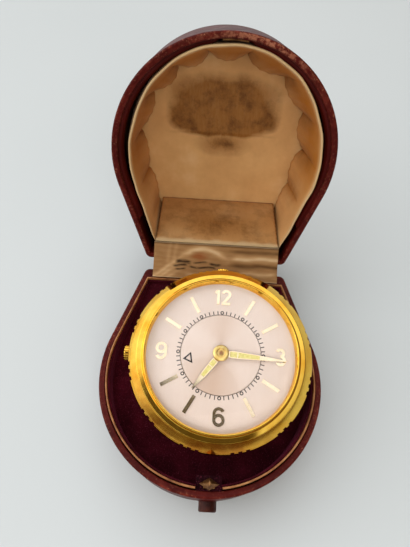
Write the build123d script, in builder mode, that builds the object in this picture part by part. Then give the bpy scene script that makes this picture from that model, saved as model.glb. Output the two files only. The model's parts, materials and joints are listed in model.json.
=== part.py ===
from build123d import *

import os
from math import acos, asin, atan2, cos, hypot, pi, radians, sin

# Gilt travel alarm clock lying in an open horseshoe leather case.
# Millimetres and degrees. Origin under the centre of the case's front arc, on the table;
# +Y runs back to the hinge, +Z up. The lid is drawn open, as it stands.

# Case plan and walls
CASE_ROOM = 11.0
REAR_REACH = 2.5
REAR_TAPER = 10.6
CORNER_RADIUS = 2.2
BASE_HEIGHT = 21.7
BASE_EDGE = 1.4
RIM_EDGE = 0.5
LEATHER = 0.7
WOOD = 1.3
BASE_FLOOR = 2.2
REAR_WALL = 4.3
LIP_THICK = 0.9
LIP_RISE = 1.5
LIP_CLEARANCE = 0.35
GLUE = 0.02

# Lid
LID_DEPTH = 29.2
LID_TOP = 1.6
LID_EDGE = 2.2
LID_OPEN = 114.0
RIM_GAP = 0.15
PAD_THICK = 1.6
PAD_EDGE = 1.0
LINING_GAP = 0.2

# Ruched side lining of the lid
PUFFS = 11
PUFF_FRONT = 1.6
PUFF_RIM_INSET = 5.6
PUFF_BACK_INSET = 8.4
PUFF_RIM_SWELL = 0.9
PUFF_BACK_SWELL = 1.4
PUFF_END_GAP = 6.5

# Satin panel on the hinge side of the lid, and the ribbon over the hinge
PANEL_RIM_GAP = 7.9
PANEL_SLOPE = 6.4
PANEL_THICK = 1.0
PANEL_MARGIN = 3.4
PANEL_FRONT = 0.6
RIBBON_THICK = 0.5
RIBBON_MARGIN = 3.0
RIBBON_SAG = 0.8
RIBBON_GAP = 0.3

# Hinge
HINGE_SETBACK = 2.4
KNUCKLES = 5
KNUCKLE_RADIUS = 1.25
KNUCKLE_LENGTH = 8.0
KNUCKLE_GAP = 0.2
HINGE_PIN_RADIUS = 0.6
HINGE_PIN_CLEARANCE = 0.04
LEAF_THICK = 0.5
LEAF_HEIGHT = 7.0
LEAF_START = 0.5
LEAF_WEB = 0.6

# Velvet seat and the clock's place on it
PILE = 0.7
WALL_PILE_RISE = 0.6
SEAT_DEPTH = 1.5
SEAT_CLEARANCE = 0.3
CLOCK_X = 2.7
CLOCK_Y = 5.9
CLOCK_SINK = 6.5
CLOCK_TILT = 8.1

# Push catch at the front
CATCH_X = 0.8
CATCH_BLOCK_WIDTH = 7.6
CATCH_BLOCK_DEPTH = 4.2
CATCH_BLOCK_DROP = 0.3
CATCH_WALL = 0.7
CATCH_ROOF = 1.0
CATCH_TRAVEL = 1.0
CATCH_CLEARANCE = 0.2
BUTTON_RADIUS = 2.7
BUTTON_CLEARANCE = 0.1
BUTTON_REACH = 3.2
BUTTON_ROUND = 0.6
BUTTON_DROP = 6.1
HOOK_SETBACK = 0.7
HOOK_THICK = 0.8
HOOK_WIDTH = 3.2
HOOK_TAIL = 3.0
HEAD_RISE = 2.0
HEAD_WIDTH = 5.9
HEAD_LENGTH = 3.3
HEAD_HEIGHT = 2.4
HEAD_NOSE = 0.55
HEAD_RIDGE_WIDTH = 0.5
HEAD_RIDGE_LENGTH = 1.6
SPRING_LEAF = 0.25
SPRING_LEAF_HEIGHT = 3.0
KEEPER_THICK = 0.4
KEEPER_LEG = 0.55
KEEPER_LOW = 0.5
KEEPER_HIGH = 6.5
KEEPER_LEDGE = 1.65
KEEPER_WINDOW = 3.6

# Clock case, heights measured along its axis; the band reaches down to the back from its top
BODY_RADIUS = 26.0
BODY_WALL = 1.4
BODY_HEIGHT = 15.0
BAND_TOP = 15.0
BACK_RIM = 0.8
BACK_PLUG = 1.0
BACK_THICK = 0.5
BACK_EDGE = 0.4
BACK_RIM_WIDTH = 0.9
SHOULDER_WIDTH = 1.7
RUN_FIT = 0.05
RING_WIDTH = 4.0
RING_LOW = 11.0
RING_BAND_TOP = 13.0
RING_HIGH = 16.4
RING_TOP_WIDTH = 1.0
RING_EDGE = 0.4
NOTCH_GROUPS = 12
NOTCHES = 3
NOTCH_STEP = 4.6
NOTCH_TURN = -13.5
NOTCH_WIDTH = 1.05
NOTCH_DEPTH = 0.8
NOTCH_RISE = 0.7
BEZEL_SKIRT_TOP = 16.5
BEZEL_OVERHANG = 0.8
BEZEL_EDGE_TOP = 17.0
BEZEL_TOP = 18.0
BEZEL_LEDGE = 1.5
BEZEL_BEVEL = 0.55
BEZEL_CREST = 0.4
BEZEL_WIDTH = 2.8
BEZEL_LIP_LOW = 16.7
CRYSTAL_MARGIN = 1.3
CRYSTAL_LOW = 15.9
CRYSTAL_THICK = 1.1
CRYSTAL_CENTRE = 18.3
CRYSTAL_FLANGE = 1.5
REHAUT_WIDTH = 0.4

# Crowns
CROWN_AXIS = 8.2
CROWN_RADIUS = 2.4
CROWN_GAP = 1.4
CROWN_LENGTH = 4.6
CROWN_FLUTES = 16
CROWN_FLUTE_RADIUS = 0.28
CROWN_ROUND = 0.5
STEM_RADIUS = 0.55
TUBE_RADIUS = 1.0
TUBE_SINK = 0.1
TUBE_REACH = 1.2
WINDING_ANGLE = 90.0
WINDING_STEM_END = 19.0
ALARM_ANGLE = 180.0
ALARM_STEM_END = 17.0

# Dial, markers and hands
DIAL_MARGIN = 1.6
DIAL_LOW = 14.2
DIAL_THICK = 0.4
DISC_MARGIN = 11.5
DISC_CLEARANCE = 0.1
DISC_LOW = 14.15
DISC_THICK = 0.35
MARKER_HEIGHT = 0.25
BATON_GAP = 2.5
BATON_MARGIN = 3.0
BATON_WIDTH = 1.15
NUMERAL_MARGIN = 5.2
NUMERAL_STROKE = 0.95
SIX_RADIUS = 1.4
SIX_BOWL_DROP = 0.95
SIX_CROWN_RISE = 0.95
SIX_CROWN_SWEEP = 155.0
POINTER_ANGLE = 190.2
POINTER_MARGIN = 0.6
POINTER_LENGTH = 2.9
POINTER_HALF_WIDTH = 1.8
POINTER_LINE = 0.45
POINTER_HEIGHT = 0.1
HAND_THICK = 0.25
HAND_ROOT = 2.6
HAND_ROOT_WIDTH = 1.9
HAND_SHOULDER = 3.6
HOUR_HAND_ANGLE = -127.5
HOUR_HAND_REACH = 1.2
HOUR_HAND_WIDTH = 2.1
HOUR_BELLY_BACK = 5.6
HOUR_BELLY_WIDTH = 1.75
HOUR_HAND_LOW = 14.95
HOUR_BOSS = 2.3
MINUTE_HAND_ANGLE = -3.9
MINUTE_HAND_MARGIN = 3.3
MINUTE_HAND_WIDTH = 2.35
MINUTE_BELLY_BACK = 9.5
MINUTE_BELLY_WIDTH = 1.65
MINUTE_HAND_LOW = 15.5
MINUTE_BOSS = 1.9
HAND_TIP_WIDTH = 0.35
CAP_RADIUS = 2.6
CAP_HEIGHT = 0.75

# Movement, heights along the clock's axis
PLATE_LOW = 9.0
PLATE_HIGH = 10.2
PLATE_FIT = 0.2
BRIDGE_LOW = 3.6
BRIDGE_HIGH = 4.6
BRIDGE_MARGIN = 1.1
PILLARS = ((17.5, -4.0), (6.0, 16.0), (-16.5, -3.0), (-14.0, -12.0))
PILLAR_RADIUS = 1.4
SCREW_RADIUS = 0.6
SCREW_HEAD_RADIUS = 1.2
SCREW_HEAD = 0.5
SCREW_SLOT = 0.3
PIVOT_RADIUS = 0.25
PIVOT_FIT = 0.03
PIVOT_LENGTH = 0.8
ARBOR_RADIUS = 0.4
SHAKE = 0.1
DIAL_FOOT_RADIUS = 0.4
DIAL_FOOT_INSET = 4.5
DIAL_FOOT_TURNS = (45.0, 225.0)

# Going train: teeth, modules and the turn of each centre line
ADDENDUM = 0.6
DEDENDUM = 1.15
TOOTH_ROOT = 0.52
TOOTH_TIP = 0.2
LEAF_OVERLAP = 0.2
CENTRE_WHEEL_DROP = 0.8
CENTRE_WHEEL_THICK = 0.4
BARREL_TEETH = 60
CENTRE_LEAVES = 10
BARREL_MODULE = 0.25
BARREL_TURN = 35.0
CENTRE_TEETH = 60
THIRD_LEAVES = 8
CENTRE_MODULE = 0.2
THIRD_TURN = 170.0
THIRD_TEETH = 64
FOURTH_LEAVES = 8
THIRD_MODULE = 0.18
FOURTH_TURN = 250.0
FOURTH_TEETH = 60
ESCAPE_LEAVES = 8
FOURTH_MODULE = 0.16
ESCAPE_TURN = 320.0
BARREL_WALL = 0.5
BARREL_LOW = 5.0
BARREL_HIGH = 7.6
BARREL_END = 0.3
BARREL_TOOTH_LOW = 6.9
BARREL_TOOTH_HIGH = 7.5
BARREL_BORE = 0.85
BARREL_ARBOR_RADIUS = 0.8
BARREL_HUB = 1.4
MAINSPRING_STRIP = 0.22
MAINSPRING_STEP = 0.55
MAINSPRING_TURNS = 8
MAINSPRING_START = 2.0
RATCHET_RADIUS = 5.0
RATCHET_TEETH = 40
RATCHET_DEPTH = 0.45
RATCHET_LOW = 3.1
RATCHET_HIGH = 3.5
CLICK_TURN = 5.0
CLICK_DISTANCE = 9.0
CLICK_RADIUS = 1.0
CLICK_ARM = 3.4
CLICK_WIDTH = 0.8
ESCAPE_RADIUS = 3.2
ESCAPE_TEETH = 15
ESCAPE_DEPTH = 0.8
ESCAPE_LOW = 5.2
ESCAPE_HIGH = 5.6
BALANCE = (5.2, -11.0)
PALLET_DISTANCE = 4.7
PALLET_CLEARANCE = 0.3
PALLET_SPAN = 52.0
PALLET_ARM = 0.5
FORK_CLEARANCE = 0.2
BALANCE_RADIUS = 5.0
BALANCE_RIM = 0.8
BALANCE_LOW = 6.4
BALANCE_HIGH = 7.2
BALANCE_HUB = 1.0
BALANCE_SPOKE = 0.8
ROLLER_RADIUS = 0.95
BALANCE_BAY = 7.0
COCK_FOOT = (11.5, -14.5)
COCK_WIDTH = 3.0
HAIRSPRING_LOW = 8.0
HAIRSPRING_HEIGHT = 0.3
HAIRSPRING_STRIP = 0.12
HAIRSPRING_STEP = 0.5
HAIRSPRING_TURNS = 5
HAIRSPRING_START = 0.9

# Motion work under the dial
CANNON_LEAVES = 10
MINUTE_WHEEL_TEETH = 30
MINUTE_LEAVES = 8
HOUR_WHEEL_TEETH = 32
MOTION_MODULE = 0.2
MOTION_TURN = -60.0
CENTRE_POST = 0.45
CANNON_BORE = 0.5
CANNON_PIPE = 0.9
CANNON_LOW = 10.6
CANNON_TOOTH_HIGH = 11.5
MINUTE_WHEEL_LOW = 10.8
MINUTE_WHEEL_HIGH = 11.2
MINUTE_LEAF_HIGH = 12.7
HOUR_WHEEL_LOW = 12.0
HOUR_WHEEL_HIGH = 12.4
HOUR_PIPE = 1.5
ALARM_PIPE = 2.1
PIPE_FIT = 0.08
ALARM_WHEEL_TEETH = 56
ALARM_WHEEL_LOW = 12.95
ALARM_WHEEL_HIGH = 13.3

# Alarm train
ALARM_BARREL = (-4.0, 14.0)
ALARM_BARREL_RADIUS = 5.6
ALARM_BARREL_HIGH = 7.2
ALARM_TEETH = 24
ALARM_TOOTH_DEPTH = 0.4
HAMMER = (-13.0, 12.0)
HAMMER_HEAD = (-17.2, 6.0)
HAMMER_HEAD_RADIUS = 1.3
HAMMER_ARM = 0.9
HAMMER_BOSS = 1.1
HAMMER_LOW = 5.2
HAMMER_HIGH = 5.9
HAMMER_PALLET_GAP = 0.35
GONG_POST_INSET = 4.47
GONG_POST_TURN = 165.6
GONG_POST_RADIUS = 0.8
GONG_POST_HIGH = 6.2
GONG_POST_CLEARANCE = 0.8

# Sizes of the clock that follow from its band
BODY_BORE = BODY_RADIUS - BODY_WALL
BACK_LOW = BAND_TOP - BODY_HEIGHT
SHOULDER_RADIUS = BODY_BORE - SHOULDER_WIDTH
RING_RADIUS = BODY_RADIUS + RING_WIDTH
RING_TOP_RADIUS = BODY_RADIUS + RING_TOP_WIDTH
BEZEL_RADIUS = BODY_RADIUS + BEZEL_OVERHANG
BEZEL_LEDGE_IN = BEZEL_RADIUS - BEZEL_LEDGE
BEZEL_CREST_OUT = BEZEL_LEDGE_IN - BEZEL_BEVEL
BEZEL_CREST_IN = BEZEL_CREST_OUT - BEZEL_CREST
BEZEL_OPENING = BEZEL_RADIUS - BEZEL_WIDTH
CRYSTAL_RADIUS = BODY_RADIUS - CRYSTAL_MARGIN
CRYSTAL_INNER_RADIUS = CRYSTAL_RADIUS - CRYSTAL_FLANGE
CROWN_INNER = BODY_RADIUS + CROWN_GAP
CROWN_TIP = CROWN_INNER + CROWN_LENGTH
TUBE_INNER_END = BODY_BORE - TUBE_SINK
TUBE_OUTER_END = BODY_RADIUS + TUBE_REACH
DIAL_RADIUS = BODY_RADIUS - DIAL_MARGIN
REHAUT_INNER = DIAL_RADIUS - REHAUT_WIDTH
DISC_RADIUS = DIAL_RADIUS - DISC_MARGIN
BATON_INNER = DISC_RADIUS + BATON_GAP
BATON_OUTER = DIAL_RADIUS - BATON_MARGIN
NUMERAL_RADIUS = DIAL_RADIUS - NUMERAL_MARGIN
POINTER_TIP = DISC_RADIUS - POINTER_MARGIN
POINTER_ROOT = POINTER_TIP - POINTER_LENGTH
HOUR_HAND_LENGTH = DISC_RADIUS + HOUR_HAND_REACH
MINUTE_HAND_LENGTH = DIAL_RADIUS - MINUTE_HAND_MARGIN
PLATE_RADIUS = BODY_BORE - PLATE_FIT
BRIDGE_RADIUS = BODY_BORE - BRIDGE_MARGIN
DIAL_TOP = DIAL_LOW + DIAL_THICK
DISC_TOP = DISC_LOW + DISC_THICK
HOUR_HAND_TOP = HOUR_HAND_LOW + HAND_THICK
MINUTE_HAND_TOP = MINUTE_HAND_LOW + HAND_THICK

# Sizes of the case that follow from the clock, and from those above
CASE_RADIUS = BODY_RADIUS + CASE_ROOM
CASE_REAR = CASE_RADIUS + REAR_REACH
REAR_HALF_WIDTH = CASE_RADIUS - REAR_TAPER
PUFF_END = CASE_REAR - PUFF_END_GAP
PANEL_RIM_Y = CASE_REAR - PANEL_RIM_GAP
PANEL_BACK_Y = PANEL_RIM_Y - PANEL_SLOPE
PANEL_HALF_WIDTH = REAR_HALF_WIDTH - PANEL_MARGIN
RIBBON_HALF_WIDTH = REAR_HALF_WIDTH - RIBBON_MARGIN
CLOCK_Z = BASE_HEIGHT - CLOCK_SINK
SEAT_LEVEL = BACK_LOW + SEAT_DEPTH
WALL = LEATHER + WOOD
CATCH_BLOCK_REAR = WALL + CATCH_BLOCK_DEPTH - CASE_RADIUS
CATCH_BLOCK_TOP = BASE_HEIGHT - CATCH_BLOCK_DROP
KEEPER_WINDOW_HALF = HEAD_WIDTH / 2 + CATCH_CLEARANCE
KEEPER_HALF = KEEPER_WINDOW_HALF + KEEPER_LEG
BUTTON_Z = BASE_HEIGHT - BUTTON_DROP
HOOK_FRONT = WALL + HOOK_SETBACK - CASE_RADIUS
HOOK_FOOT = BUTTON_Z - HOOK_TAIL
HEAD_LOW = BASE_HEIGHT + HEAD_RISE
SIDE_ANGLE = atan2(CASE_REAR, REAR_HALF_WIDTH) - acos(CASE_RADIUS / hypot(REAR_HALF_WIDTH, CASE_REAR))
FLOOR_TOP = LEATHER + BASE_FLOOR
SILL_Y = CASE_REAR - REAR_WALL
TRAY_INSET = WALL + LIP_THICK + GLUE
TRAY_REAR = SILL_Y - LIP_THICK - GLUE
LIP_TOP = BASE_HEIGHT + LIP_RISE
HINGE_Y = CASE_REAR + HINGE_SETBACK
LID_BACK = RIM_GAP + LID_DEPTH
LID_INSIDE = LID_BACK - LEATHER - LID_TOP
PAD_FRONT = LID_INSIDE - GLUE - PAD_THICK
BUTTON_HOLE = BUTTON_RADIUS + BUTTON_CLEARANCE
WELL_RADIUS = BODY_RADIUS + SEAT_CLEARANCE

# Frames: the base's plan, the open lid's plan, and the tilted clock
BASE = Plane.XY
LID_NORMAL = Vector(0, sin(radians(LID_OPEN)), cos(radians(LID_OPEN)))
HINGE = Plane((0, HINGE_Y, BASE_HEIGHT), x_dir=(1, 0, 0), z_dir=LID_NORMAL)
LID = Plane(HINGE.from_local_coords((0, -HINGE_Y, 0)), x_dir=(1, 0, 0), z_dir=LID_NORMAL)
LID_SECTION = Plane(LID.origin, x_dir=LID.y_dir, z_dir=LID.x_dir)
TILT = radians(CLOCK_TILT)
CLOCK = Plane((CLOCK_X, CLOCK_Y, CLOCK_Z), x_dir=(1, 0, 0), z_dir=(0, -sin(TILT), cos(TILT)))
CATCH = Plane((CATCH_X, 0, BUTTON_Z), x_dir=(1, 0, 0), z_dir=(0, -1, 0))


# Shared shapes


def horseshoe(plane, inset, rear=None):
    """Plan of the case drawn in by inset: a front arc, two straight sides and a flat rear."""
    radius = CASE_RADIUS - inset
    rear_y = CASE_REAR - inset if rear is None else rear
    touch = (radius * cos(SIDE_ANGLE), radius * sin(SIDE_ANGLE))
    corner = ((radius - rear_y * sin(SIDE_ANGLE)) / cos(SIDE_ANGLE), rear_y)
    with BuildSketch(plane) as plan:
        with BuildLine():
            ThreePointArc((-touch[0], touch[1]), (0, -radius), touch)
            Polyline(touch, corner, (-corner[0], corner[1]), (-touch[0], touch[1]))
        make_face()
        if inset < CORNER_RADIUS:
            fillet(plan.vertices().group_by(Axis.Y)[-1], CORNER_RADIUS - inset)
    return plan.sketch


def prism(plane, inset, low, high, rear=None, mode=Mode.ADD):
    """Upright wall or block on the plan of the case."""
    extrude(horseshoe(plane.offset(low), inset, rear), amount=high - low, mode=mode)


def box(plane, x_range, y_range, z_range, mode=Mode.ADD):
    """Square block between pairs of coordinates of a plane."""
    with BuildSketch(plane.offset(z_range[0])) as foot:
        with BuildLine():
            Polyline(
                (x_range[0], y_range[0]),
                (x_range[1], y_range[0]),
                (x_range[1], y_range[1]),
                (x_range[0], y_range[1]),
                close=True,
            )
        make_face()
    extrude(foot.sketch, amount=z_range[1] - z_range[0], mode=mode)


def button_hole():
    """Round hole through the front wall for the push button."""
    with BuildSketch(CATCH.offset(-HOOK_FRONT)) as hole:
        Circle(BUTTON_HOLE)
    extrude(hole.sketch, amount=CASE_RADIUS + HOOK_FRONT + 1, mode=Mode.SUBTRACT)


def catch_notch(low, high, half=CATCH_BLOCK_WIDTH / 2 + GLUE):
    """Opening in the tray's linings for the block that houses the catch."""
    box(
        BASE,
        (CATCH_X - half, CATCH_X + half),
        (-CASE_RADIUS + WALL / 2, CATCH_BLOCK_REAR + GLUE),
        (low, high),
        mode=Mode.SUBTRACT,
    )


def post(at, radius, low, high, mode=Mode.ADD):
    """Round post square to the dial, between two heights of the clock."""
    with BuildSketch(CLOCK.offset(low)) as foot:
        with Locations(at):
            Circle(radius)
    extrude(foot.sketch, amount=high - low, mode=mode)


def slab(points, low, high, mode=Mode.ADD):
    """Flat piece of straight-sided outline between two heights of the clock."""
    with BuildSketch(CLOCK.offset(low)) as foot:
        with BuildLine():
            Polyline(*points, close=True)
        make_face()
    extrude(foot.sketch, amount=high - low, mode=mode)


def lathe(points):
    """Ring or disc turned about the clock's axis from (radius, height) points."""
    section = Plane(CLOCK.origin, x_dir=CLOCK.x_dir, z_dir=-CLOCK.y_dir)
    with BuildSketch(section) as outline:
        with BuildLine():
            Polyline(*points, close=True)
        make_face()
    revolve(outline.sketch, axis=Axis(CLOCK.origin, CLOCK.z_dir))


def bar(start, end, width, low, high):
    """Straight bar from one place on the dial plane to another."""
    along = atan2(end[1] - start[1], end[0] - start[0])
    side = (-sin(along) * width / 2, cos(along) * width / 2)
    slab(
        [
            (start[0] + side[0], start[1] + side[1]),
            (end[0] + side[0], end[1] + side[1]),
            (end[0] - side[0], end[1] - side[1]),
            (start[0] - side[0], start[1] - side[1]),
        ],
        low,
        high,
    )


def polar(centre, radius, angle):
    """Place at a radius and an angle in radians about a centre."""
    return (centre[0] + radius * cos(angle), centre[1] + radius * sin(angle))


def heading(start, end):
    """Angle in radians from one place to another."""
    return atan2(end[1] - start[1], end[0] - start[0])


def gear(at, teeth, module, low, high, tooth_at):
    """Spur wheel with straight flanks, one tooth of it pointing along the angle tooth_at."""
    root = teeth * module / 2 - DEDENDUM * module
    tip = teeth * module / 2 + ADDENDUM * module
    flanks = ((root, -TOOTH_ROOT), (tip, -TOOTH_TIP), (tip, TOOTH_TIP), (root, TOOTH_ROOT))
    ring = []
    for tooth in range(teeth):
        for radius, share in flanks:
            ring.append(polar(at, radius, tooth_at + (2 * tooth + share) * pi / teeth))
    slab(ring, low, high)


def saw_wheel(at, radius, teeth, depth, low, high):
    """Wheel with hooked teeth, as on a ratchet or an escape wheel."""
    ring = []
    for tooth in range(teeth):
        ring.append(polar(at, radius - depth, 2 * pi * tooth / teeth))
        ring.append(polar(at, radius, 2 * pi * (tooth + 0.12) / teeth))
        ring.append(polar(at, radius - depth, 2 * pi * (tooth + 0.4) / teeth))
    slab(ring, low, high)


def pivots(at, low, high):
    """Fine pivots at both ends of an arbor that runs between the bridge and the main plate."""
    post(at, PIVOT_RADIUS, BRIDGE_HIGH - PIVOT_LENGTH, low)
    post(at, PIVOT_RADIUS, high, PLATE_LOW + PIVOT_LENGTH)


def arbor(at):
    """Wheel arbor with its pivots, standing between the bridge and the main plate."""
    post(at, ARBOR_RADIUS, BRIDGE_HIGH + SHAKE, PLATE_LOW - SHAKE)
    pivots(at, BRIDGE_HIGH + SHAKE, PLATE_LOW - SHAKE)


def spiral(at, start, step, turns):
    """Centre line of a flat spiral spring: half circles about two centres in turn."""
    for half in range(2 * turns):
        shift = 0 if half % 2 == 0 else step / 2
        begin = 0 if half % 2 == 0 else 180
        CenterArc((at[0] + shift, at[1]), start + half * step / 2, begin, 180)


def turned_plane(angle, radius):
    """Plane square to a line that runs out from the clock's axis at crown height."""
    out = CLOCK.x_dir * cos(radians(angle)) + CLOCK.y_dir * sin(radians(angle))
    centre = CLOCK.from_local_coords((0, 0, CROWN_AXIS)) + out * radius
    return Plane(centre, x_dir=CLOCK.z_dir, z_dir=out)


def rod(angle, radius, inner, outer, mode=Mode.ADD):
    """Round rod along a crown's axis, between two distances from the clock's axis."""
    with BuildSketch(turned_plane(angle, inner)) as end:
        Circle(radius)
    extrude(end.sketch, amount=outer - inner, mode=mode)


# Places of the train's arbors on the dial plane
CENTRE = (0.0, 0.0)
BARREL = polar(CENTRE, (BARREL_TEETH + CENTRE_LEAVES) * BARREL_MODULE / 2, radians(BARREL_TURN))
THIRD = polar(CENTRE, (CENTRE_TEETH + THIRD_LEAVES) * CENTRE_MODULE / 2, radians(THIRD_TURN))
FOURTH = polar(THIRD, (THIRD_TEETH + FOURTH_LEAVES) * THIRD_MODULE / 2, radians(FOURTH_TURN))
ESCAPE = polar(FOURTH, (FOURTH_TEETH + ESCAPE_LEAVES) * FOURTH_MODULE / 2, radians(ESCAPE_TURN))
PALLET = polar(ESCAPE, PALLET_DISTANCE, heading(ESCAPE, BALANCE))
MINUTE = polar(CENTRE, (CANNON_LEAVES + MINUTE_WHEEL_TEETH) * MOTION_MODULE / 2, radians(MOTION_TURN))
CLICK = polar(BARREL, CLICK_DISTANCE, radians(CLICK_TURN))
GONG_POST = polar(CENTRE, BODY_BORE - GONG_POST_INSET, radians(GONG_POST_TURN))
DIAL_FEET = [polar(CENTRE, SHOULDER_RADIUS - DIAL_FOOT_INSET, radians(turn)) for turn in DIAL_FOOT_TURNS]

# Leather case, base

with BuildPart() as base_leather:
    prism(BASE, 0, 0, BASE_HEIGHT)
    fillet(base_leather.faces().sort_by(Axis.Z)[0].edges(), BASE_EDGE)
    fillet(base_leather.faces().sort_by(Axis.Z)[-1].edges(), RIM_EDGE)
    prism(BASE, LEATHER, LEATHER, BASE_HEIGHT - LEATHER, mode=Mode.SUBTRACT)
    prism(BASE, WALL, LEATHER, BASE_HEIGHT, rear=SILL_Y, mode=Mode.SUBTRACT)
    button_hole()

with BuildPart() as base_carcass:
    prism(BASE, LEATHER + GLUE, LEATHER, BASE_HEIGHT - LEATHER)
    prism(BASE, WALL, FLOOR_TOP, BASE_HEIGHT, rear=SILL_Y, mode=Mode.SUBTRACT)
    button_hole()

with BuildPart() as base_lip:
    prism(BASE, WALL + GLUE, FLOOR_TOP, BASE_HEIGHT, rear=SILL_Y - GLUE)
    prism(BASE, WALL + LIP_CLEARANCE, BASE_HEIGHT, LIP_TOP, rear=SILL_Y - LIP_CLEARANCE)
    prism(BASE, WALL + LIP_THICK, FLOOR_TOP, LIP_TOP, rear=SILL_Y - LIP_THICK, mode=Mode.SUBTRACT)
    catch_notch(FLOOR_TOP, LIP_TOP)
    catch_notch(BASE_HEIGHT, LIP_TOP, KEEPER_HALF + LIP_CLEARANCE)

with BuildPart() as seat_block:
    prism(BASE, TRAY_INSET, FLOOR_TOP, LIP_TOP, rear=TRAY_REAR)
    split(bisect_by=CLOCK.offset(SEAT_LEVEL - PILE), keep=Keep.BOTTOM)
    post(CENTRE, WELL_RADIUS + PILE + GLUE, BACK_LOW - PILE, SEAT_LEVEL, mode=Mode.SUBTRACT)
    catch_notch(FLOOR_TOP, LIP_TOP)

with BuildPart() as velvet_seat:
    prism(BASE, TRAY_INSET, FLOOR_TOP, LIP_TOP, rear=TRAY_REAR)
    split(bisect_by=CLOCK.offset(SEAT_LEVEL - PILE), keep=Keep.TOP)
    split(bisect_by=CLOCK.offset(SEAT_LEVEL), keep=Keep.BOTTOM)
    post(CENTRE, WELL_RADIUS + PILE, BACK_LOW - PILE, SEAT_LEVEL - PILE)
    post(CENTRE, WELL_RADIUS, BACK_LOW, SEAT_LEVEL, mode=Mode.SUBTRACT)
    catch_notch(FLOOR_TOP, LIP_TOP)

with BuildPart() as velvet_wall:
    prism(BASE, TRAY_INSET, FLOOR_TOP, BASE_HEIGHT + WALL_PILE_RISE, rear=TRAY_REAR)
    prism(BASE, TRAY_INSET + PILE, FLOOR_TOP, LIP_TOP, rear=TRAY_REAR - PILE, mode=Mode.SUBTRACT)
    split(bisect_by=CLOCK.offset(SEAT_LEVEL), keep=Keep.TOP)
    catch_notch(FLOOR_TOP, LIP_TOP)

# Push catch

CATCH_SIDES = (CATCH_X - CATCH_BLOCK_WIDTH / 2, CATCH_X + CATCH_BLOCK_WIDTH / 2)
CAVITY_SIDES = (CATCH_SIDES[0] + CATCH_WALL, CATCH_SIDES[1] - CATCH_WALL)
HOOK_SIDES = (CATCH_X - HOOK_WIDTH / 2, CATCH_X + HOOK_WIDTH / 2)
HOOK_REAR = HOOK_FRONT + HOOK_THICK
CAVITY_FRONT = HOOK_FRONT - CATCH_CLEARANCE
CAVITY_REAR = CATCH_BLOCK_REAR - CATCH_WALL
HEAD_TOP = HEAD_LOW + HEAD_HEIGHT
HEAD_MIDDLE = HOOK_FRONT - HEAD_NOSE + HEAD_LENGTH / 2

with BuildPart() as catch_block:
    prism(BASE, WALL + GLUE, FLOOR_TOP, CATCH_BLOCK_TOP, rear=SILL_Y)
    box(
        BASE,
        CATCH_SIDES,
        (-CASE_RADIUS, CATCH_BLOCK_REAR),
        (FLOOR_TOP, CATCH_BLOCK_TOP),
        mode=Mode.INTERSECT,
    )
    box(
        BASE,
        CAVITY_SIDES,
        (CAVITY_FRONT, CAVITY_REAR),
        (HOOK_FOOT - CATCH_CLEARANCE, CATCH_BLOCK_TOP - CATCH_ROOF),
        mode=Mode.SUBTRACT,
    )
    box(
        BASE,
        (HOOK_SIDES[0] - CATCH_CLEARANCE, HOOK_SIDES[1] + CATCH_CLEARANCE),
        (CAVITY_FRONT, HOOK_REAR + CATCH_TRAVEL + CATCH_CLEARANCE),
        (CATCH_BLOCK_TOP - CATCH_ROOF, CATCH_BLOCK_TOP),
        mode=Mode.SUBTRACT,
    )
    button_hole()

with BuildPart() as catch_button:
    with BuildSketch(CATCH.offset(-HOOK_FRONT)) as button_end:
        Circle(BUTTON_RADIUS)
    extrude(amount=CASE_RADIUS + HOOK_FRONT + BUTTON_REACH)
    fillet(catch_button.faces().sort_by(Axis.Y)[0].edges(), BUTTON_ROUND)


def head_outline(height, width, length):
    """Diamond plan of the hook's head at a height."""
    with BuildSketch(BASE.offset(height)) as outline:
        with BuildLine():
            Polyline(
                (CATCH_X - width / 2, HEAD_MIDDLE),
                (CATCH_X, HEAD_MIDDLE - length / 2),
                (CATCH_X + width / 2, HEAD_MIDDLE),
                (CATCH_X, HEAD_MIDDLE + length / 2),
                close=True,
            )
        make_face()
    return outline.sketch


with BuildPart() as catch_hook:
    box(BASE, HOOK_SIDES, (HOOK_FRONT, HOOK_REAR), (HOOK_FOOT, HEAD_LOW))
    loft(
        [
            head_outline(HEAD_LOW, HEAD_WIDTH, HEAD_LENGTH),
            head_outline(HEAD_TOP, HEAD_RIDGE_WIDTH, HEAD_RIDGE_LENGTH),
        ]
    )

with BuildPart() as catch_spring:
    spring_reach = (CAVITY_SIDES[1] - CAVITY_SIDES[0]) / 2 - CATCH_CLEARANCE
    spring_rear = CAVITY_REAR - SPRING_LEAF
    with BuildSketch(BASE.offset(BUTTON_Z - SPRING_LEAF_HEIGHT / 2)):
        with BuildLine():
            ThreePointArc(
                (CATCH_X - spring_reach, spring_rear),
                (CATCH_X, HOOK_REAR + SPRING_LEAF),
                (CATCH_X + spring_reach, spring_rear),
            )
        trace(line_width=SPRING_LEAF)
    extrude(amount=SPRING_LEAF_HEIGHT)

# Leather case, lid

with BuildPart() as lid_leather:
    prism(LID, 0, RIM_GAP, LID_BACK)
    fillet(lid_leather.faces().sort_by(Axis(LID.origin, LID.z_dir))[-1].edges(), LID_EDGE)
    fillet(lid_leather.faces().sort_by(Axis(LID.origin, LID.z_dir))[0].edges(), RIM_EDGE)
    prism(LID, LEATHER, RIM_GAP + LEATHER, LID_BACK - LID_EDGE, mode=Mode.SUBTRACT)
    prism(LID, WALL, RIM_GAP, LID_BACK - LEATHER, mode=Mode.SUBTRACT)

with BuildPart() as lid_top_space:
    prism(LID, LEATHER, RIM_GAP + LEATHER, LID_BACK - LEATHER)
    fillet(lid_top_space.faces().sort_by(Axis(LID.origin, LID.z_dir))[-1].edges(), LID_EDGE - LEATHER)

with lid_leather:
    add(lid_top_space.part, mode=Mode.SUBTRACT)

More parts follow.
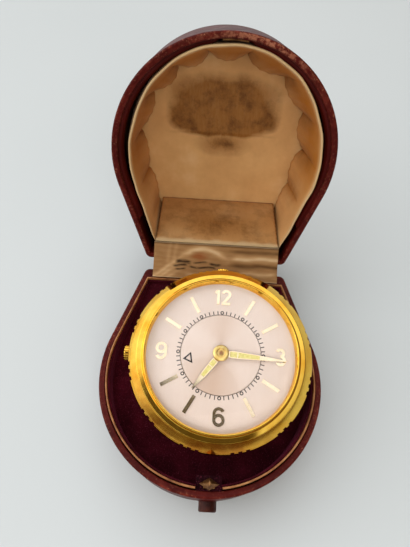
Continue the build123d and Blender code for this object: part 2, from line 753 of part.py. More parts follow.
with BuildPart() as lid_carcass:
    prism(LID, LEATHER + GLUE, RIM_GAP + LEATHER, LID_BACK - LEATHER)
    fillet(lid_carcass.faces().sort_by(Axis(LID.origin, LID.z_dir))[-1].edges(), LID_EDGE - LEATHER)
    prism(LID, WALL, RIM_GAP, LID_INSIDE, mode=Mode.SUBTRACT)

with BuildPart() as lid_back_pad:
    prism(LID, WALL + LINING_GAP, PAD_FRONT, LID_INSIDE - GLUE)
    fillet(lid_back_pad.faces().sort_by(Axis(LID.origin, LID.z_dir))[0].edges(), PAD_EDGE)


def puff_place(inset, share):
    """Place and inward heading at a share of the way round the lining, from its left rear end."""
    radius = CASE_RADIUS - inset
    rear_x = (radius - PUFF_END * sin(SIDE_ANGLE)) / cos(SIDE_ANGLE)
    touch = (radius * cos(SIDE_ANGLE), radius * sin(SIDE_ANGLE))
    side = hypot(rear_x - touch[0], PUFF_END - touch[1])
    arc = radius * (pi + 2 * SIDE_ANGLE)
    run = share * (2 * side + arc)
    if run < side:
        left = (touch[0] + (rear_x - touch[0]) * (side - run) / side)
        return (-left, touch[1] + (PUFF_END - touch[1]) * (side - run) / side), -SIDE_ANGLE
    if run > side + arc:
        past = (run - side - arc) / side
        right = (touch[0] + (rear_x - touch[0]) * past, touch[1] + (PUFF_END - touch[1]) * past)
        return right, pi + SIDE_ANGLE
    angle = pi - SIDE_ANGLE + (run - side) / radius
    return (radius * cos(angle), radius * sin(angle)), angle + pi


def puffed_opening(depth, inset, swell):
    """Outline of the space inside the lining: one arc swelling inwards for each puff."""
    with BuildSketch(LID.offset(depth)) as opening:
        with BuildLine():
            for puff in range(PUFFS):
                middle, inward = puff_place(inset, (puff + 0.5) / PUFFS)
                ThreePointArc(
                    puff_place(inset, puff / PUFFS)[0],
                    polar(middle, swell, inward),
                    puff_place(inset, (puff + 1) / PUFFS)[0],
                )
            rear_x = puff_place(inset, 1)[0][0]
            Polyline((rear_x, PUFF_END), (rear_x, CASE_REAR), (-rear_x, CASE_REAR), (-rear_x, PUFF_END))
        make_face()
    return opening.sketch


with BuildPart() as lid_side_puff:
    puff_back = PAD_FRONT - LINING_GAP
    puff_wall = WALL + GLUE + KEEPER_THICK + LINING_GAP
    prism(LID, puff_wall, PUFF_FRONT, puff_back, rear=PUFF_END)
    loft(
        [
            puffed_opening(PUFF_FRONT, PUFF_RIM_INSET, PUFF_RIM_SWELL),
            puffed_opening(puff_back, PUFF_BACK_INSET, PUFF_BACK_SWELL),
        ],
        ruled=True,
        mode=Mode.SUBTRACT,
    )
    box(
        LID,
        (-PANEL_HALF_WIDTH - LINING_GAP, PANEL_HALF_WIDTH + LINING_GAP),
        (PANEL_BACK_Y - LINING_GAP, CASE_REAR),
        (PUFF_FRONT, puff_back),
        mode=Mode.SUBTRACT,
    )

with BuildPart() as lid_hinge_panel:
    panel_back = PAD_FRONT - LINING_GAP
    with BuildSketch(LID_SECTION.offset(-PANEL_HALF_WIDTH)):
        with BuildLine():
            Polyline(
                (PANEL_RIM_Y, PANEL_FRONT),
                (PANEL_RIM_Y + PANEL_THICK, PANEL_FRONT),
                (PANEL_BACK_Y + PANEL_THICK, panel_back),
                (PANEL_BACK_Y, panel_back),
                close=True,
            )
        make_face()
    extrude(amount=2 * PANEL_HALF_WIDTH)

with BuildPart() as lid_keeper:
    prism(LID, WALL + GLUE, KEEPER_LOW, KEEPER_HIGH)
    prism(LID, WALL + GLUE + KEEPER_THICK, KEEPER_LOW, KEEPER_HIGH, mode=Mode.SUBTRACT)
    box(
        LID,
        (CATCH_X - KEEPER_HALF, CATCH_X + KEEPER_HALF),
        (-CASE_RADIUS, 0),
        (KEEPER_LOW, KEEPER_HIGH),
        mode=Mode.INTERSECT,
    )
    box(
        LID,
        (CATCH_X - KEEPER_WINDOW_HALF, CATCH_X + KEEPER_WINDOW_HALF),
        (-CASE_RADIUS, 0),
        (KEEPER_LEDGE, KEEPER_LEDGE + KEEPER_WINDOW),
        mode=Mode.SUBTRACT,
    )

# Hinge and ribbon

KNUCKLE_START = -KNUCKLES * KNUCKLE_LENGTH / 2
LEAF_HALF_WIDTH = KNUCKLES * KNUCKLE_LENGTH / 2
AXIS_PLANE = Plane((0, HINGE_Y, BASE_HEIGHT), x_dir=(0, 1, 0), z_dir=(1, 0, 0))


def knuckle(number, radius, mode=Mode.ADD):
    """One knuckle of the hinge, or the bore through it."""
    start = KNUCKLE_START + number * KNUCKLE_LENGTH + KNUCKLE_GAP / 2
    with BuildSketch(AXIS_PLANE.offset(start)) as end:
        Circle(radius)
    extrude(end.sketch, amount=KNUCKLE_LENGTH - KNUCKLE_GAP, mode=mode)


def leaf(plane, level, away, numbers):
    """Hinge leaf on a rear face: a plate, and webs from it to its own knuckles."""
    plate_y = (CASE_REAR + GLUE, CASE_REAR + GLUE + LEAF_THICK)
    near = level + away * LEAF_START
    far = near + away * LEAF_WEB
    plate_z = sorted((near, near + away * LEAF_HEIGHT))
    box(plane, (-LEAF_HALF_WIDTH, LEAF_HALF_WIDTH), plate_y, plate_z)
    for number in numbers:
        start = KNUCKLE_START + number * KNUCKLE_LENGTH + KNUCKLE_GAP / 2
        web_x = (start, start + KNUCKLE_LENGTH - KNUCKLE_GAP)
        box(plane, web_x, (plate_y[0], HINGE_Y), sorted((near, far)))
        knuckle(number, KNUCKLE_RADIUS)
        knuckle(number, HINGE_PIN_RADIUS + HINGE_PIN_CLEARANCE, mode=Mode.SUBTRACT)


with BuildPart() as hinge_leaf_base:
    leaf(BASE, BASE_HEIGHT, -1, range(0, KNUCKLES, 2))

with BuildPart() as hinge_leaf_lid:
    leaf(LID, 0, 1, range(1, KNUCKLES, 2))

with BuildPart() as hinge_pin:
    with BuildSketch(AXIS_PLANE.offset(KNUCKLE_START)):
        Circle(HINGE_PIN_RADIUS)
    extrude(amount=KNUCKLES * KNUCKLE_LENGTH)

with BuildPart() as hinge_ribbon:
    lid_end = LID_SECTION.from_local_coords((PANEL_RIM_Y + PANEL_THICK / 2, PANEL_FRONT - RIBBON_GAP))
    lip_end = (SILL_Y - LIP_CLEARANCE, LIP_TOP + RIBBON_THICK)
    sag_point = ((lid_end.Y + lip_end[0]) / 2, (lid_end.Z + lip_end[1]) / 2 - RIBBON_SAG)
    with BuildSketch(Plane((-RIBBON_HALF_WIDTH, 0, 0), x_dir=(0, 1, 0), z_dir=(1, 0, 0))):
        with BuildLine():
            ThreePointArc(lip_end, sag_point, (lid_end.Y, lid_end.Z))
        trace(line_width=RIBBON_THICK)
    extrude(amount=2 * RIBBON_HALF_WIDTH)

# Clock case

BACK_INSIDE = BACK_LOW + BACK_THICK
BACK_JOINT = BACK_LOW + BACK_RIM

with BuildPart() as case_back:
    lathe(
        [
            (0, BACK_LOW),
            (BODY_RADIUS - BACK_EDGE, BACK_LOW),
            (BODY_RADIUS, BACK_LOW + BACK_EDGE),
            (BODY_RADIUS, BACK_JOINT),
            (BODY_BORE - RUN_FIT, BACK_JOINT),
            (BODY_BORE - RUN_FIT, BACK_JOINT + BACK_PLUG),
            (BODY_BORE - BACK_RIM_WIDTH, BACK_JOINT + BACK_PLUG),
            (BODY_BORE - BACK_RIM_WIDTH, BACK_INSIDE),
            (0, BACK_INSIDE),
        ]
    )
    post(GONG_POST, GONG_POST_RADIUS, BACK_INSIDE, GONG_POST_HIGH)

with BuildPart() as clock_case:
    lathe(
        [
            (BODY_BORE, BACK_JOINT),
            (BODY_RADIUS, BACK_JOINT),
            (BODY_RADIUS, BAND_TOP),
            (DIAL_RADIUS + RUN_FIT, BAND_TOP),
            (DIAL_RADIUS + RUN_FIT, DIAL_LOW),
            (SHOULDER_RADIUS, DIAL_LOW),
            (SHOULDER_RADIUS, PLATE_HIGH),
            (BODY_BORE, PLATE_HIGH),
        ]
    )
    for crown_angle in (WINDING_ANGLE, ALARM_ANGLE):
        rod(crown_angle, TUBE_RADIUS + GLUE, SHOULDER_RADIUS, RING_RADIUS, mode=Mode.SUBTRACT)

with BuildPart() as grip_ring:
    lathe(
        [
            (BODY_RADIUS + GLUE, RING_LOW),
            (RING_RADIUS - RING_EDGE, RING_LOW),
            (RING_RADIUS, RING_LOW + RING_EDGE),
            (RING_RADIUS, RING_BAND_TOP),
            (RING_TOP_RADIUS, RING_HIGH),
            (BODY_RADIUS + GLUE, RING_HIGH),
        ]
    )
    with BuildSketch(CLOCK.offset(RING_LOW)):
        for notch in range(NOTCHES):
            turn = NOTCH_TURN + (notch - (NOTCHES - 1) / 2) * NOTCH_STEP
            with PolarLocations(RING_RADIUS, NOTCH_GROUPS, start_angle=90 - turn):
                Rectangle(2 * NOTCH_DEPTH, NOTCH_WIDTH)
    extrude(amount=RING_BAND_TOP + NOTCH_RISE - RING_LOW, mode=Mode.SUBTRACT)

with BuildPart() as bezel:
    lathe(
        [
            (CRYSTAL_RADIUS + RUN_FIT, BAND_TOP),
            (BODY_RADIUS - RUN_FIT, BAND_TOP),
            (BODY_RADIUS - RUN_FIT, BEZEL_SKIRT_TOP),
            (BEZEL_RADIUS, BEZEL_SKIRT_TOP),
            (BEZEL_RADIUS, BEZEL_EDGE_TOP),
            (BEZEL_LEDGE_IN, BEZEL_EDGE_TOP),
            (BEZEL_CREST_OUT, BEZEL_TOP),
            (BEZEL_CREST_IN, BEZEL_TOP),
            (BEZEL_OPENING, BEZEL_EDGE_TOP),
            (BEZEL_OPENING, BEZEL_LIP_LOW),
            (CRYSTAL_RADIUS + RUN_FIT, BEZEL_LIP_LOW),
        ]
    )


def dome_middle(foot, low, high):
    """Half-way point on a circle about the clock's axis, from its crown down to its foot."""
    radius = (foot**2 + (high - low) ** 2) / (2 * (high - low))
    half = asin(foot / radius) / 2
    return (radius * sin(half), high - radius * (1 - cos(half)))


with BuildPart() as crystal:
    flange_top = BEZEL_LIP_LOW - RUN_FIT
    dome_foot = BEZEL_OPENING - RUN_FIT
    crown_top = CRYSTAL_CENTRE + CRYSTAL_THICK
    with BuildSketch(Plane(CLOCK.origin, x_dir=CLOCK.x_dir, z_dir=-CLOCK.y_dir)):
        with BuildLine():
            Polyline(
                (CRYSTAL_INNER_RADIUS, CRYSTAL_LOW),
                (CRYSTAL_RADIUS, CRYSTAL_LOW),
                (CRYSTAL_RADIUS, flange_top),
                (dome_foot, flange_top),
            )
            ThreePointArc(
                (dome_foot, flange_top),
                dome_middle(dome_foot, flange_top, crown_top),
                (0, crown_top),
            )
            Line((0, crown_top), (0, CRYSTAL_CENTRE))
            ThreePointArc(
                (0, CRYSTAL_CENTRE),
                dome_middle(CRYSTAL_INNER_RADIUS, CRYSTAL_LOW, CRYSTAL_CENTRE),
                (CRYSTAL_INNER_RADIUS, CRYSTAL_LOW),
            )
        make_face()
    revolve(axis=Axis(CLOCK.origin, CLOCK.z_dir))

with BuildPart() as rehaut_ring:
    lathe(
        [
            (REHAUT_INNER, DIAL_TOP),
            (DIAL_RADIUS, DIAL_TOP),
            (DIAL_RADIUS, CRYSTAL_LOW),
            ((REHAUT_INNER + DIAL_RADIUS) / 2, CRYSTAL_LOW),
        ]
    )

# Crowns, stems and tubes


def crown(angle):
    """Fluted crown on its stem."""
    rod(angle, CROWN_RADIUS, CROWN_INNER, CROWN_TIP)
    out = turned_plane(angle, CROWN_TIP)
    rims = faces().sort_by(Axis(out.origin, out.z_dir))[-1].edges()
    fillet(rims, CROWN_ROUND)
    with BuildSketch(turned_plane(angle, CROWN_INNER)) as flutes:
        with PolarLocations(CROWN_RADIUS, CROWN_FLUTES):
            Circle(CROWN_FLUTE_RADIUS)
    extrude(flutes.sketch, amount=CROWN_TIP - CROWN_INNER, mode=Mode.SUBTRACT)


with BuildPart() as crown_tubes:
    for crown_angle in (WINDING_ANGLE, ALARM_ANGLE):
        rod(crown_angle, TUBE_RADIUS, TUBE_INNER_END, TUBE_OUTER_END)
        rod(crown_angle, STEM_RADIUS + RUN_FIT, TUBE_INNER_END, TUBE_OUTER_END, mode=Mode.SUBTRACT)

with BuildPart() as winding_crown:
    crown(WINDING_ANGLE)

with BuildPart() as winding_stem:
    rod(WINDING_ANGLE, STEM_RADIUS, WINDING_STEM_END, CROWN_INNER)

with BuildPart() as alarm_crown:
    crown(ALARM_ANGLE)

with BuildPart() as alarm_stem:
    rod(ALARM_ANGLE, STEM_RADIUS, ALARM_STEM_END, CROWN_INNER)

# Dial, markers and hands

with BuildPart() as dial:
    post(CENTRE, DIAL_RADIUS, DIAL_LOW, DIAL_TOP)
    for foot_place in DIAL_FEET:
        post(foot_place, DIAL_FOOT_RADIUS, PLATE_LOW, DIAL_LOW)
    post(CENTRE, DISC_RADIUS + DISC_CLEARANCE, DIAL_LOW, DIAL_TOP, mode=Mode.SUBTRACT)

with BuildPart() as hour_batons:
    for hour in range(12):
        if hour % 3:
            turn = hour * pi / 6
            bar(
                polar(CENTRE, BATON_INNER, turn),
                polar(CENTRE, BATON_OUTER, turn),
                BATON_WIDTH,
                DIAL_TOP,
                DIAL_TOP + MARKER_HEIGHT,
            )


def stroke(*path):
    """One stroke of a numeral, straight between two places or an arc through three."""
    with BuildLine() as middle:
        if len(path) == 2:
            Line(*path)
        else:
            ThreePointArc(*path)
    trace(middle.line, line_width=NUMERAL_STROKE)


def bend(centre, radius, start, sweep):
    """Stroke along part of a circle, angles in degrees."""
    stages = (start, start + sweep / 2, start + sweep)
    stroke(*[polar(centre, radius, radians(angle)) for angle in stages])


def six(u, v, upright):
    """A 6 about a place on the dial, or a 9 when turned over."""
    bowl = (u, v - upright * SIX_BOWL_DROP)
    crown_arc = (u, v + upright * SIX_CROWN_RISE)
    side = u - upright * SIX_RADIUS
    over = 180 if upright > 0 else 0
    bend(bowl, SIX_RADIUS, 0, 180)
    bend(bowl, SIX_RADIUS, 180, 180)
    stroke((side, bowl[1]), (side, crown_arc[1]))
    bend(crown_arc, SIX_RADIUS, over, -SIX_CROWN_SWEEP)


def three(u, v):
    """A 3 about a place on the dial."""
    bend((u, v + 1.25), 1.1, 155, -245)
    bend((u, v - 1.15), 1.3, 90, -245)


def twelve(u, v):
    """A 12 about a place on the dial."""
    stroke((u - 2.6, v + 1.5), (u - 1.5, v + 2.4))
    stroke((u - 1.5, v + 2.6), (u - 1.5, v - 2.6))
    bend((u + 1.2, v + 1.1), 1.2, 165, -210)
    stroke(polar((u + 1.2, v + 1.1), 1.2, radians(-45)), (u + 0.1, v - 2.25))
    stroke((u - 0.3, v - 2.25), (u + 2.6, v - 2.25))


with BuildPart() as hour_numerals:
    with BuildSketch(CLOCK.offset(DIAL_TOP)):
        twelve(0, NUMERAL_RADIUS)
        three(NUMERAL_RADIUS, 0)
        six(0, -NUMERAL_RADIUS, 1)
        six(-NUMERAL_RADIUS, 0, -1)
    extrude(amount=MARKER_HEIGHT)

with BuildPart() as alarm_disc:
    post(CENTRE, DISC_RADIUS, DISC_LOW, DISC_TOP)
    post(CENTRE, ALARM_PIPE + GLUE, DISC_LOW, DISC_TOP, mode=Mode.SUBTRACT)


def pointer_corners(inset):
    """Corners of the triangular alarm pointer, drawn in by inset."""
    along = radians(POINTER_ANGLE)
    tip = polar(CENTRE, POINTER_TIP - 2 * inset, along)
    root = polar(CENTRE, POINTER_ROOT + inset, along)
    half = POINTER_HALF_WIDTH - 1.6 * inset
    return [tip, polar(root, half, along + pi / 2), polar(root, half, along - pi / 2)]


with BuildPart() as alarm_pointer:
    slab(pointer_corners(0), DISC_TOP, DISC_TOP + POINTER_HEIGHT)
    slab(pointer_corners(POINTER_LINE), DISC_TOP, DISC_TOP + POINTER_HEIGHT, mode=Mode.SUBTRACT)


def hand(angle, length, width, belly_back, belly_width, boss, bore, low):
    """Leaf-shaped hand that keeps its width past its belly and then tapers to its tip, on a round boss."""
    along = radians(angle)
    root = polar(CENTRE, HAND_ROOT, along)
    shoulder = polar(CENTRE, HAND_SHOULDER, along)
    belly = polar(CENTRE, length - belly_back, along)
    tip = polar(CENTRE, length, along)
    bar(CENTRE, root, HAND_ROOT_WIDTH, low, low + HAND_THICK)
    left = along + pi / 2
    right = along - pi / 2
    slab(
        [
            polar(root, HAND_ROOT_WIDTH / 2, left),
            polar(shoulder, width / 2, left),
            polar(belly, belly_width / 2, left),
            polar(tip, HAND_TIP_WIDTH / 2, left),
            polar(tip, HAND_TIP_WIDTH / 2, right),
            polar(belly, belly_width / 2, right),
            polar(shoulder, width / 2, right),
            polar(root, HAND_ROOT_WIDTH / 2, right),
        ],
        low,
        low + HAND_THICK,
    )
    post(CENTRE, boss, low, low + HAND_THICK)
    post(CENTRE, bore, low, low + HAND_THICK, mode=Mode.SUBTRACT)


with BuildPart() as hour_hand:
    hand(
        HOUR_HAND_ANGLE,
        HOUR_HAND_LENGTH,
        HOUR_HAND_WIDTH,
        HOUR_BELLY_BACK,
        HOUR_BELLY_WIDTH,
        HOUR_BOSS,
        HOUR_PIPE + GLUE,
        HOUR_HAND_LOW,
    )

with BuildPart() as minute_hand:
    hand(
        MINUTE_HAND_ANGLE,
        MINUTE_HAND_LENGTH,
        MINUTE_HAND_WIDTH,
        MINUTE_BELLY_BACK,
        MINUTE_BELLY_WIDTH,
        MINUTE_BOSS,
        CANNON_PIPE + GLUE,
        MINUTE_HAND_LOW,
    )

with BuildPart() as hand_cap:
    post(CENTRE, CAP_RADIUS, MINUTE_HAND_TOP, MINUTE_HAND_TOP + CAP_HEIGHT)
    cap_faces = hand_cap.faces().sort_by(Axis(CLOCK.origin, CLOCK.z_dir))
    fillet(cap_faces[-1].edges(), CAP_HEIGHT / 2)

# Motion work

with BuildPart() as cannon_pinion:
    gear(
        CENTRE,
        CANNON_LEAVES,
        MOTION_MODULE,
        CANNON_LOW,
        CANNON_TOOTH_HIGH,
        heading(CENTRE, MINUTE),
    )
    post(CENTRE, CANNON_PIPE, CANNON_LOW, MINUTE_HAND_TOP)
    post(CENTRE, CANNON_BORE, CANNON_LOW, MINUTE_HAND_TOP, mode=Mode.SUBTRACT)

with BuildPart() as minute_wheel:
    gear(
        MINUTE,
        MINUTE_WHEEL_TEETH,
        MOTION_MODULE,
        MINUTE_WHEEL_LOW,
        MINUTE_WHEEL_HIGH,
        heading(MINUTE, CENTRE) + pi / MINUTE_WHEEL_TEETH,
    )
    gear(
        MINUTE,
        MINUTE_LEAVES,
        MOTION_MODULE,
        MINUTE_WHEEL_HIGH,
        MINUTE_LEAF_HIGH,
        heading(MINUTE, CENTRE),
    )
    post(MINUTE, PIVOT_RADIUS + RUN_FIT, MINUTE_WHEEL_LOW, MINUTE_LEAF_HIGH, mode=Mode.SUBTRACT)

with BuildPart() as hour_wheel:
    gear(
        CENTRE,
        HOUR_WHEEL_TEETH,
        MOTION_MODULE,
        HOUR_WHEEL_LOW,
        HOUR_WHEEL_HIGH,
        heading(CENTRE, MINUTE) + pi / HOUR_WHEEL_TEETH,
    )
    post(CENTRE, HOUR_PIPE, HOUR_WHEEL_LOW, HOUR_HAND_TOP)
    post(CENTRE, CANNON_PIPE + PIPE_FIT, HOUR_WHEEL_LOW, HOUR_HAND_TOP, mode=Mode.SUBTRACT)

with BuildPart() as alarm_wheel:
    gear(CENTRE, ALARM_WHEEL_TEETH, MOTION_MODULE, ALARM_WHEEL_LOW, ALARM_WHEEL_HIGH, 0)
    post(CENTRE, ALARM_PIPE, ALARM_WHEEL_LOW, DISC_TOP)
    post(CENTRE, HOUR_PIPE + PIPE_FIT, ALARM_WHEEL_LOW, DISC_TOP, mode=Mode.SUBTRACT)

# Movement plates

ARBORS = (THIRD, FOURTH, ESCAPE, PALLET, ALARM_BARREL, HAMMER)
PIVOT_HOLE = PIVOT_RADIUS + PIVOT_FIT

with BuildPart() as main_plate:
    post(CENTRE, PLATE_RADIUS, PLATE_LOW, PLATE_HIGH)
    post(MINUTE, PIVOT_RADIUS, PLATE_HIGH, MINUTE_LEAF_HIGH)
    for place in ARBORS + (BALANCE,):
        post(place, PIVOT_HOLE, PLATE_LOW, PLATE_HIGH, mode=Mode.SUBTRACT)
    for place in PILLARS + (COCK_FOOT,):
        post(place, SCREW_RADIUS + GLUE, PLATE_LOW, PLATE_HIGH, mode=Mode.SUBTRACT)
    for place in DIAL_FEET:
        post(place, DIAL_FOOT_RADIUS + RUN_FIT, PLATE_LOW, PLATE_HIGH, mode=Mode.SUBTRACT)
    post(CENTRE, CENTRE_POST + RUN_FIT, PLATE_LOW, PLATE_HIGH, mode=Mode.SUBTRACT)
    post(BARREL, BARREL_ARBOR_RADIUS + RUN_FIT, PLATE_LOW, PLATE_HIGH, mode=Mode.SUBTRACT)

with BuildPart() as train_bridge:
    post(CENTRE, BRIDGE_RADIUS, BRIDGE_LOW, BRIDGE_HIGH)
    post(BALANCE, BALANCE_BAY, BRIDGE_LOW, BRIDGE_HIGH, mode=Mode.SUBTRACT)
    post(COCK_FOOT, BALANCE_BAY, BRIDGE_LOW, BRIDGE_HIGH, mode=Mode.SUBTRACT)
    post(GONG_POST, GONG_POST_RADIUS + GONG_POST_CLEARANCE, BRIDGE_LOW, BRIDGE_HIGH, mode=Mode.SUBTRACT)
    post(CLICK, CLICK_RADIUS / 2, RATCHET_LOW, BRIDGE_LOW)
    for place in PILLARS:
        post(place, PILLAR_RADIUS, BRIDGE_HIGH, PLATE_LOW)
        post(place, SCREW_RADIUS + GLUE, BRIDGE_LOW, PLATE_LOW, mode=Mode.SUBTRACT)
    for place in ARBORS + (CENTRE,):
        post(place, PIVOT_HOLE, BRIDGE_LOW, BRIDGE_HIGH, mode=Mode.SUBTRACT)
    post(BARREL, BARREL_ARBOR_RADIUS + RUN_FIT, BRIDGE_LOW, BRIDGE_HIGH, mode=Mode.SUBTRACT)

with BuildPart() as balance_cock:
    bar(BALANCE, COCK_FOOT, COCK_WIDTH, BRIDGE_LOW, BRIDGE_HIGH)
    post(BALANCE, COCK_WIDTH / 2, BRIDGE_LOW, BRIDGE_HIGH)
    post(COCK_FOOT, COCK_WIDTH / 2, BRIDGE_LOW, PLATE_LOW)
    post(COCK_FOOT, SCREW_RADIUS + GLUE, BRIDGE_LOW, PLATE_LOW, mode=Mode.SUBTRACT)
    post(BALANCE, PIVOT_HOLE, BRIDGE_LOW, BRIDGE_HIGH, mode=Mode.SUBTRACT)

with BuildPart() as movement_screws:
    for place in PILLARS + (COCK_FOOT,):
        post(place, SCREW_HEAD_RADIUS, BRIDGE_LOW - SCREW_HEAD, BRIDGE_LOW)
        post(place, SCREW_RADIUS, BRIDGE_LOW, PLATE_HIGH)
        box(
            CLOCK,
            (place[0] - SCREW_HEAD_RADIUS, place[0] + SCREW_HEAD_RADIUS),
            (place[1] - SCREW_SLOT / 2, place[1] + SCREW_SLOT / 2),
            (BRIDGE_LOW - SCREW_HEAD, BRIDGE_LOW - SCREW_HEAD / 2),
            mode=Mode.SUBTRACT,
        )

# Going train

BARREL_PITCH = BARREL_TEETH * BARREL_MODULE / 2
DRUM_RADIUS = BARREL_PITCH - DEDENDUM * BARREL_MODULE
CENTRE_WHEEL_LOW = PLATE_LOW - CENTRE_WHEEL_DROP
CENTRE_WHEEL_HIGH = CENTRE_WHEEL_LOW + CENTRE_WHEEL_THICK

with BuildPart() as barrel:
    post(BARREL, DRUM_RADIUS, BARREL_LOW, BARREL_HIGH)
    gear(
        BARREL,
        BARREL_TEETH,
        BARREL_MODULE,
        BARREL_TOOTH_LOW,
        BARREL_TOOTH_HIGH,
        heading(BARREL, CENTRE),
    )
    post(
        BARREL,
        DRUM_RADIUS - BARREL_WALL,
        BARREL_LOW + BARREL_END,
        BARREL_HIGH - BARREL_END,
        mode=Mode.SUBTRACT,
    )
    post(BARREL, BARREL_BORE, BARREL_LOW, BARREL_HIGH, mode=Mode.SUBTRACT)

with BuildPart() as barrel_arbor:
    post(BARREL, BARREL_ARBOR_RADIUS, RATCHET_LOW, PLATE_HIGH)
    post(BARREL, BARREL_HUB, BARREL_LOW + BARREL_END + SHAKE, BARREL_HIGH - BARREL_END - SHAKE)
    saw_wheel(BARREL, RATCHET_RADIUS, RATCHET_TEETH, RATCHET_DEPTH, RATCHET_LOW, RATCHET_HIGH)

with BuildPart() as ratchet_click:
    click_end = polar(CLICK, CLICK_ARM, heading(CLICK, BARREL))
    bar(CLICK, click_end, CLICK_WIDTH, RATCHET_LOW, RATCHET_HIGH)
    post(CLICK, CLICK_RADIUS, RATCHET_LOW, RATCHET_HIGH)
    post(CLICK, CLICK_RADIUS / 2 + RUN_FIT, RATCHET_LOW, RATCHET_HIGH, mode=Mode.SUBTRACT)

with BuildPart() as mainspring:
    with BuildSketch(CLOCK.offset(BARREL_LOW + BARREL_END + SHAKE)):
        with BuildLine():
            spiral(BARREL, MAINSPRING_START, MAINSPRING_STEP, MAINSPRING_TURNS)
        trace(line_width=MAINSPRING_STRIP)
    extrude(amount=BARREL_HIGH - BARREL_LOW - 2 * BARREL_END - 2 * SHAKE)

with BuildPart() as centre_wheel:
    post(CENTRE, CENTRE_POST, BRIDGE_HIGH + SHAKE, MINUTE_HAND_TOP)
    post(CENTRE, PIVOT_RADIUS, BRIDGE_HIGH - PIVOT_LENGTH, BRIDGE_HIGH + SHAKE)
    gear(
        CENTRE,
        CENTRE_LEAVES,
        BARREL_MODULE,
        BARREL_TOOTH_LOW - SHAKE,
        BARREL_TOOTH_HIGH + SHAKE,
        heading(CENTRE, BARREL) + pi / CENTRE_LEAVES,
    )
    gear(
        CENTRE,
        CENTRE_TEETH,
        CENTRE_MODULE,
        CENTRE_WHEEL_LOW,
        CENTRE_WHEEL_HIGH,
        heading(CENTRE, THIRD),
    )

with BuildPart() as third_wheel:
    arbor(THIRD)
    gear(
        THIRD,
        THIRD_LEAVES,
        CENTRE_MODULE,
        CENTRE_WHEEL_LOW - LEAF_OVERLAP,
        CENTRE_WHEEL_HIGH + LEAF_OVERLAP,
        heading(THIRD, CENTRE) + pi / THIRD_LEAVES,
    )
    gear(THIRD, THIRD_TEETH, THIRD_MODULE, ESCAPE_LOW, ESCAPE_HIGH, heading(THIRD, FOURTH))

with BuildPart() as fourth_wheel:
    arbor(FOURTH)
    gear(
        FOURTH,
        FOURTH_LEAVES,
        THIRD_MODULE,
        ESCAPE_LOW - LEAF_OVERLAP,
        ESCAPE_HIGH + LEAF_OVERLAP,
        heading(FOURTH, THIRD) + pi / FOURTH_LEAVES,
    )
    gear(
        FOURTH,
        FOURTH_TEETH,
        FOURTH_MODULE,
        BARREL_TOOTH_LOW,
        BARREL_TOOTH_HIGH - LEAF_OVERLAP,
        heading(FOURTH, ESCAPE),
    )

with BuildPart() as escape_wheel:
    arbor(ESCAPE)
    gear(
        ESCAPE,
        ESCAPE_LEAVES,
        FOURTH_MODULE,
        BARREL_TOOTH_LOW - LEAF_OVERLAP,
        BARREL_TOOTH_HIGH,
        heading(ESCAPE, FOURTH) + pi / ESCAPE_LEAVES,
    )
    saw_wheel(ESCAPE, ESCAPE_RADIUS, ESCAPE_TEETH, ESCAPE_DEPTH, ESCAPE_LOW, ESCAPE_HIGH)

with BuildPart() as pallet_fork:
    arbor(PALLET)
    ahead = heading(ESCAPE, BALANCE)
    reach = ESCAPE_RADIUS + PALLET_CLEARANCE + PALLET_ARM / 2
    fork_end = hypot(BALANCE[0] - PALLET[0], BALANCE[1] - PALLET[1]) - ROLLER_RADIUS - FORK_CLEARANCE
    for side in (1, -1):
        stone = polar(ESCAPE, reach, ahead + side * radians(PALLET_SPAN))
        bar(PALLET, stone, PALLET_ARM, ESCAPE_LOW, ESCAPE_HIGH)
    bar(PALLET, polar(PALLET, fork_end, ahead), PALLET_ARM, ESCAPE_LOW, ESCAPE_HIGH)
    post(PALLET, PALLET_ARM, ESCAPE_LOW, ESCAPE_HIGH)

with BuildPart() as balance_wheel:
    arbor(BALANCE)
    post(BALANCE, BALANCE_RADIUS, BALANCE_LOW, BALANCE_HIGH)
    post(BALANCE, BALANCE_RADIUS - BALANCE_RIM, BALANCE_LOW, BALANCE_HIGH, mode=Mode.SUBTRACT)
    spoke_turn = heading(BALANCE, COCK_FOOT)
    bar(
        polar(BALANCE, BALANCE_RADIUS - BALANCE_RIM / 2, spoke_turn),
        polar(BALANCE, BALANCE_RADIUS - BALANCE_RIM / 2, spoke_turn + pi),
        BALANCE_SPOKE,
        BALANCE_LOW,
        BALANCE_HIGH,
    )
    post(BALANCE, BALANCE_HUB, BALANCE_LOW, BALANCE_HIGH)
    post(BALANCE, ROLLER_RADIUS, ESCAPE_LOW, ESCAPE_HIGH)
    post(BALANCE, ARBOR_RADIUS, BRIDGE_HIGH + SHAKE, PLATE_LOW - SHAKE)

with BuildPart() as hairspring:
    with BuildSketch(CLOCK.offset(HAIRSPRING_LOW)):
        with BuildLine():
            spiral(BALANCE, HAIRSPRING_START, HAIRSPRING_STEP, HAIRSPRING_TURNS)
        trace(line_width=HAIRSPRING_STRIP)
    extrude(amount=HAIRSPRING_HEIGHT)
    stud = (BALANCE[0] + HAIRSPRING_START + HAIRSPRING_TURNS * HAIRSPRING_STEP, BALANCE[1])
    post(stud, PIVOT_RADIUS, HAIRSPRING_LOW, PLATE_LOW)

# Alarm train

with BuildPart() as alarm_barrel:
    arbor(ALARM_BARREL)
    post(ALARM_BARREL, ALARM_BARREL_RADIUS - ALARM_TOOTH_DEPTH, BARREL_LOW, ALARM_BARREL_HIGH)
    saw_wheel(
        ALARM_BARREL,
        ALARM_BARREL_RADIUS,
        ALARM_TEETH,
        ALARM_TOOTH_DEPTH,
        HAMMER_LOW,
        HAMMER_HIGH,
    )

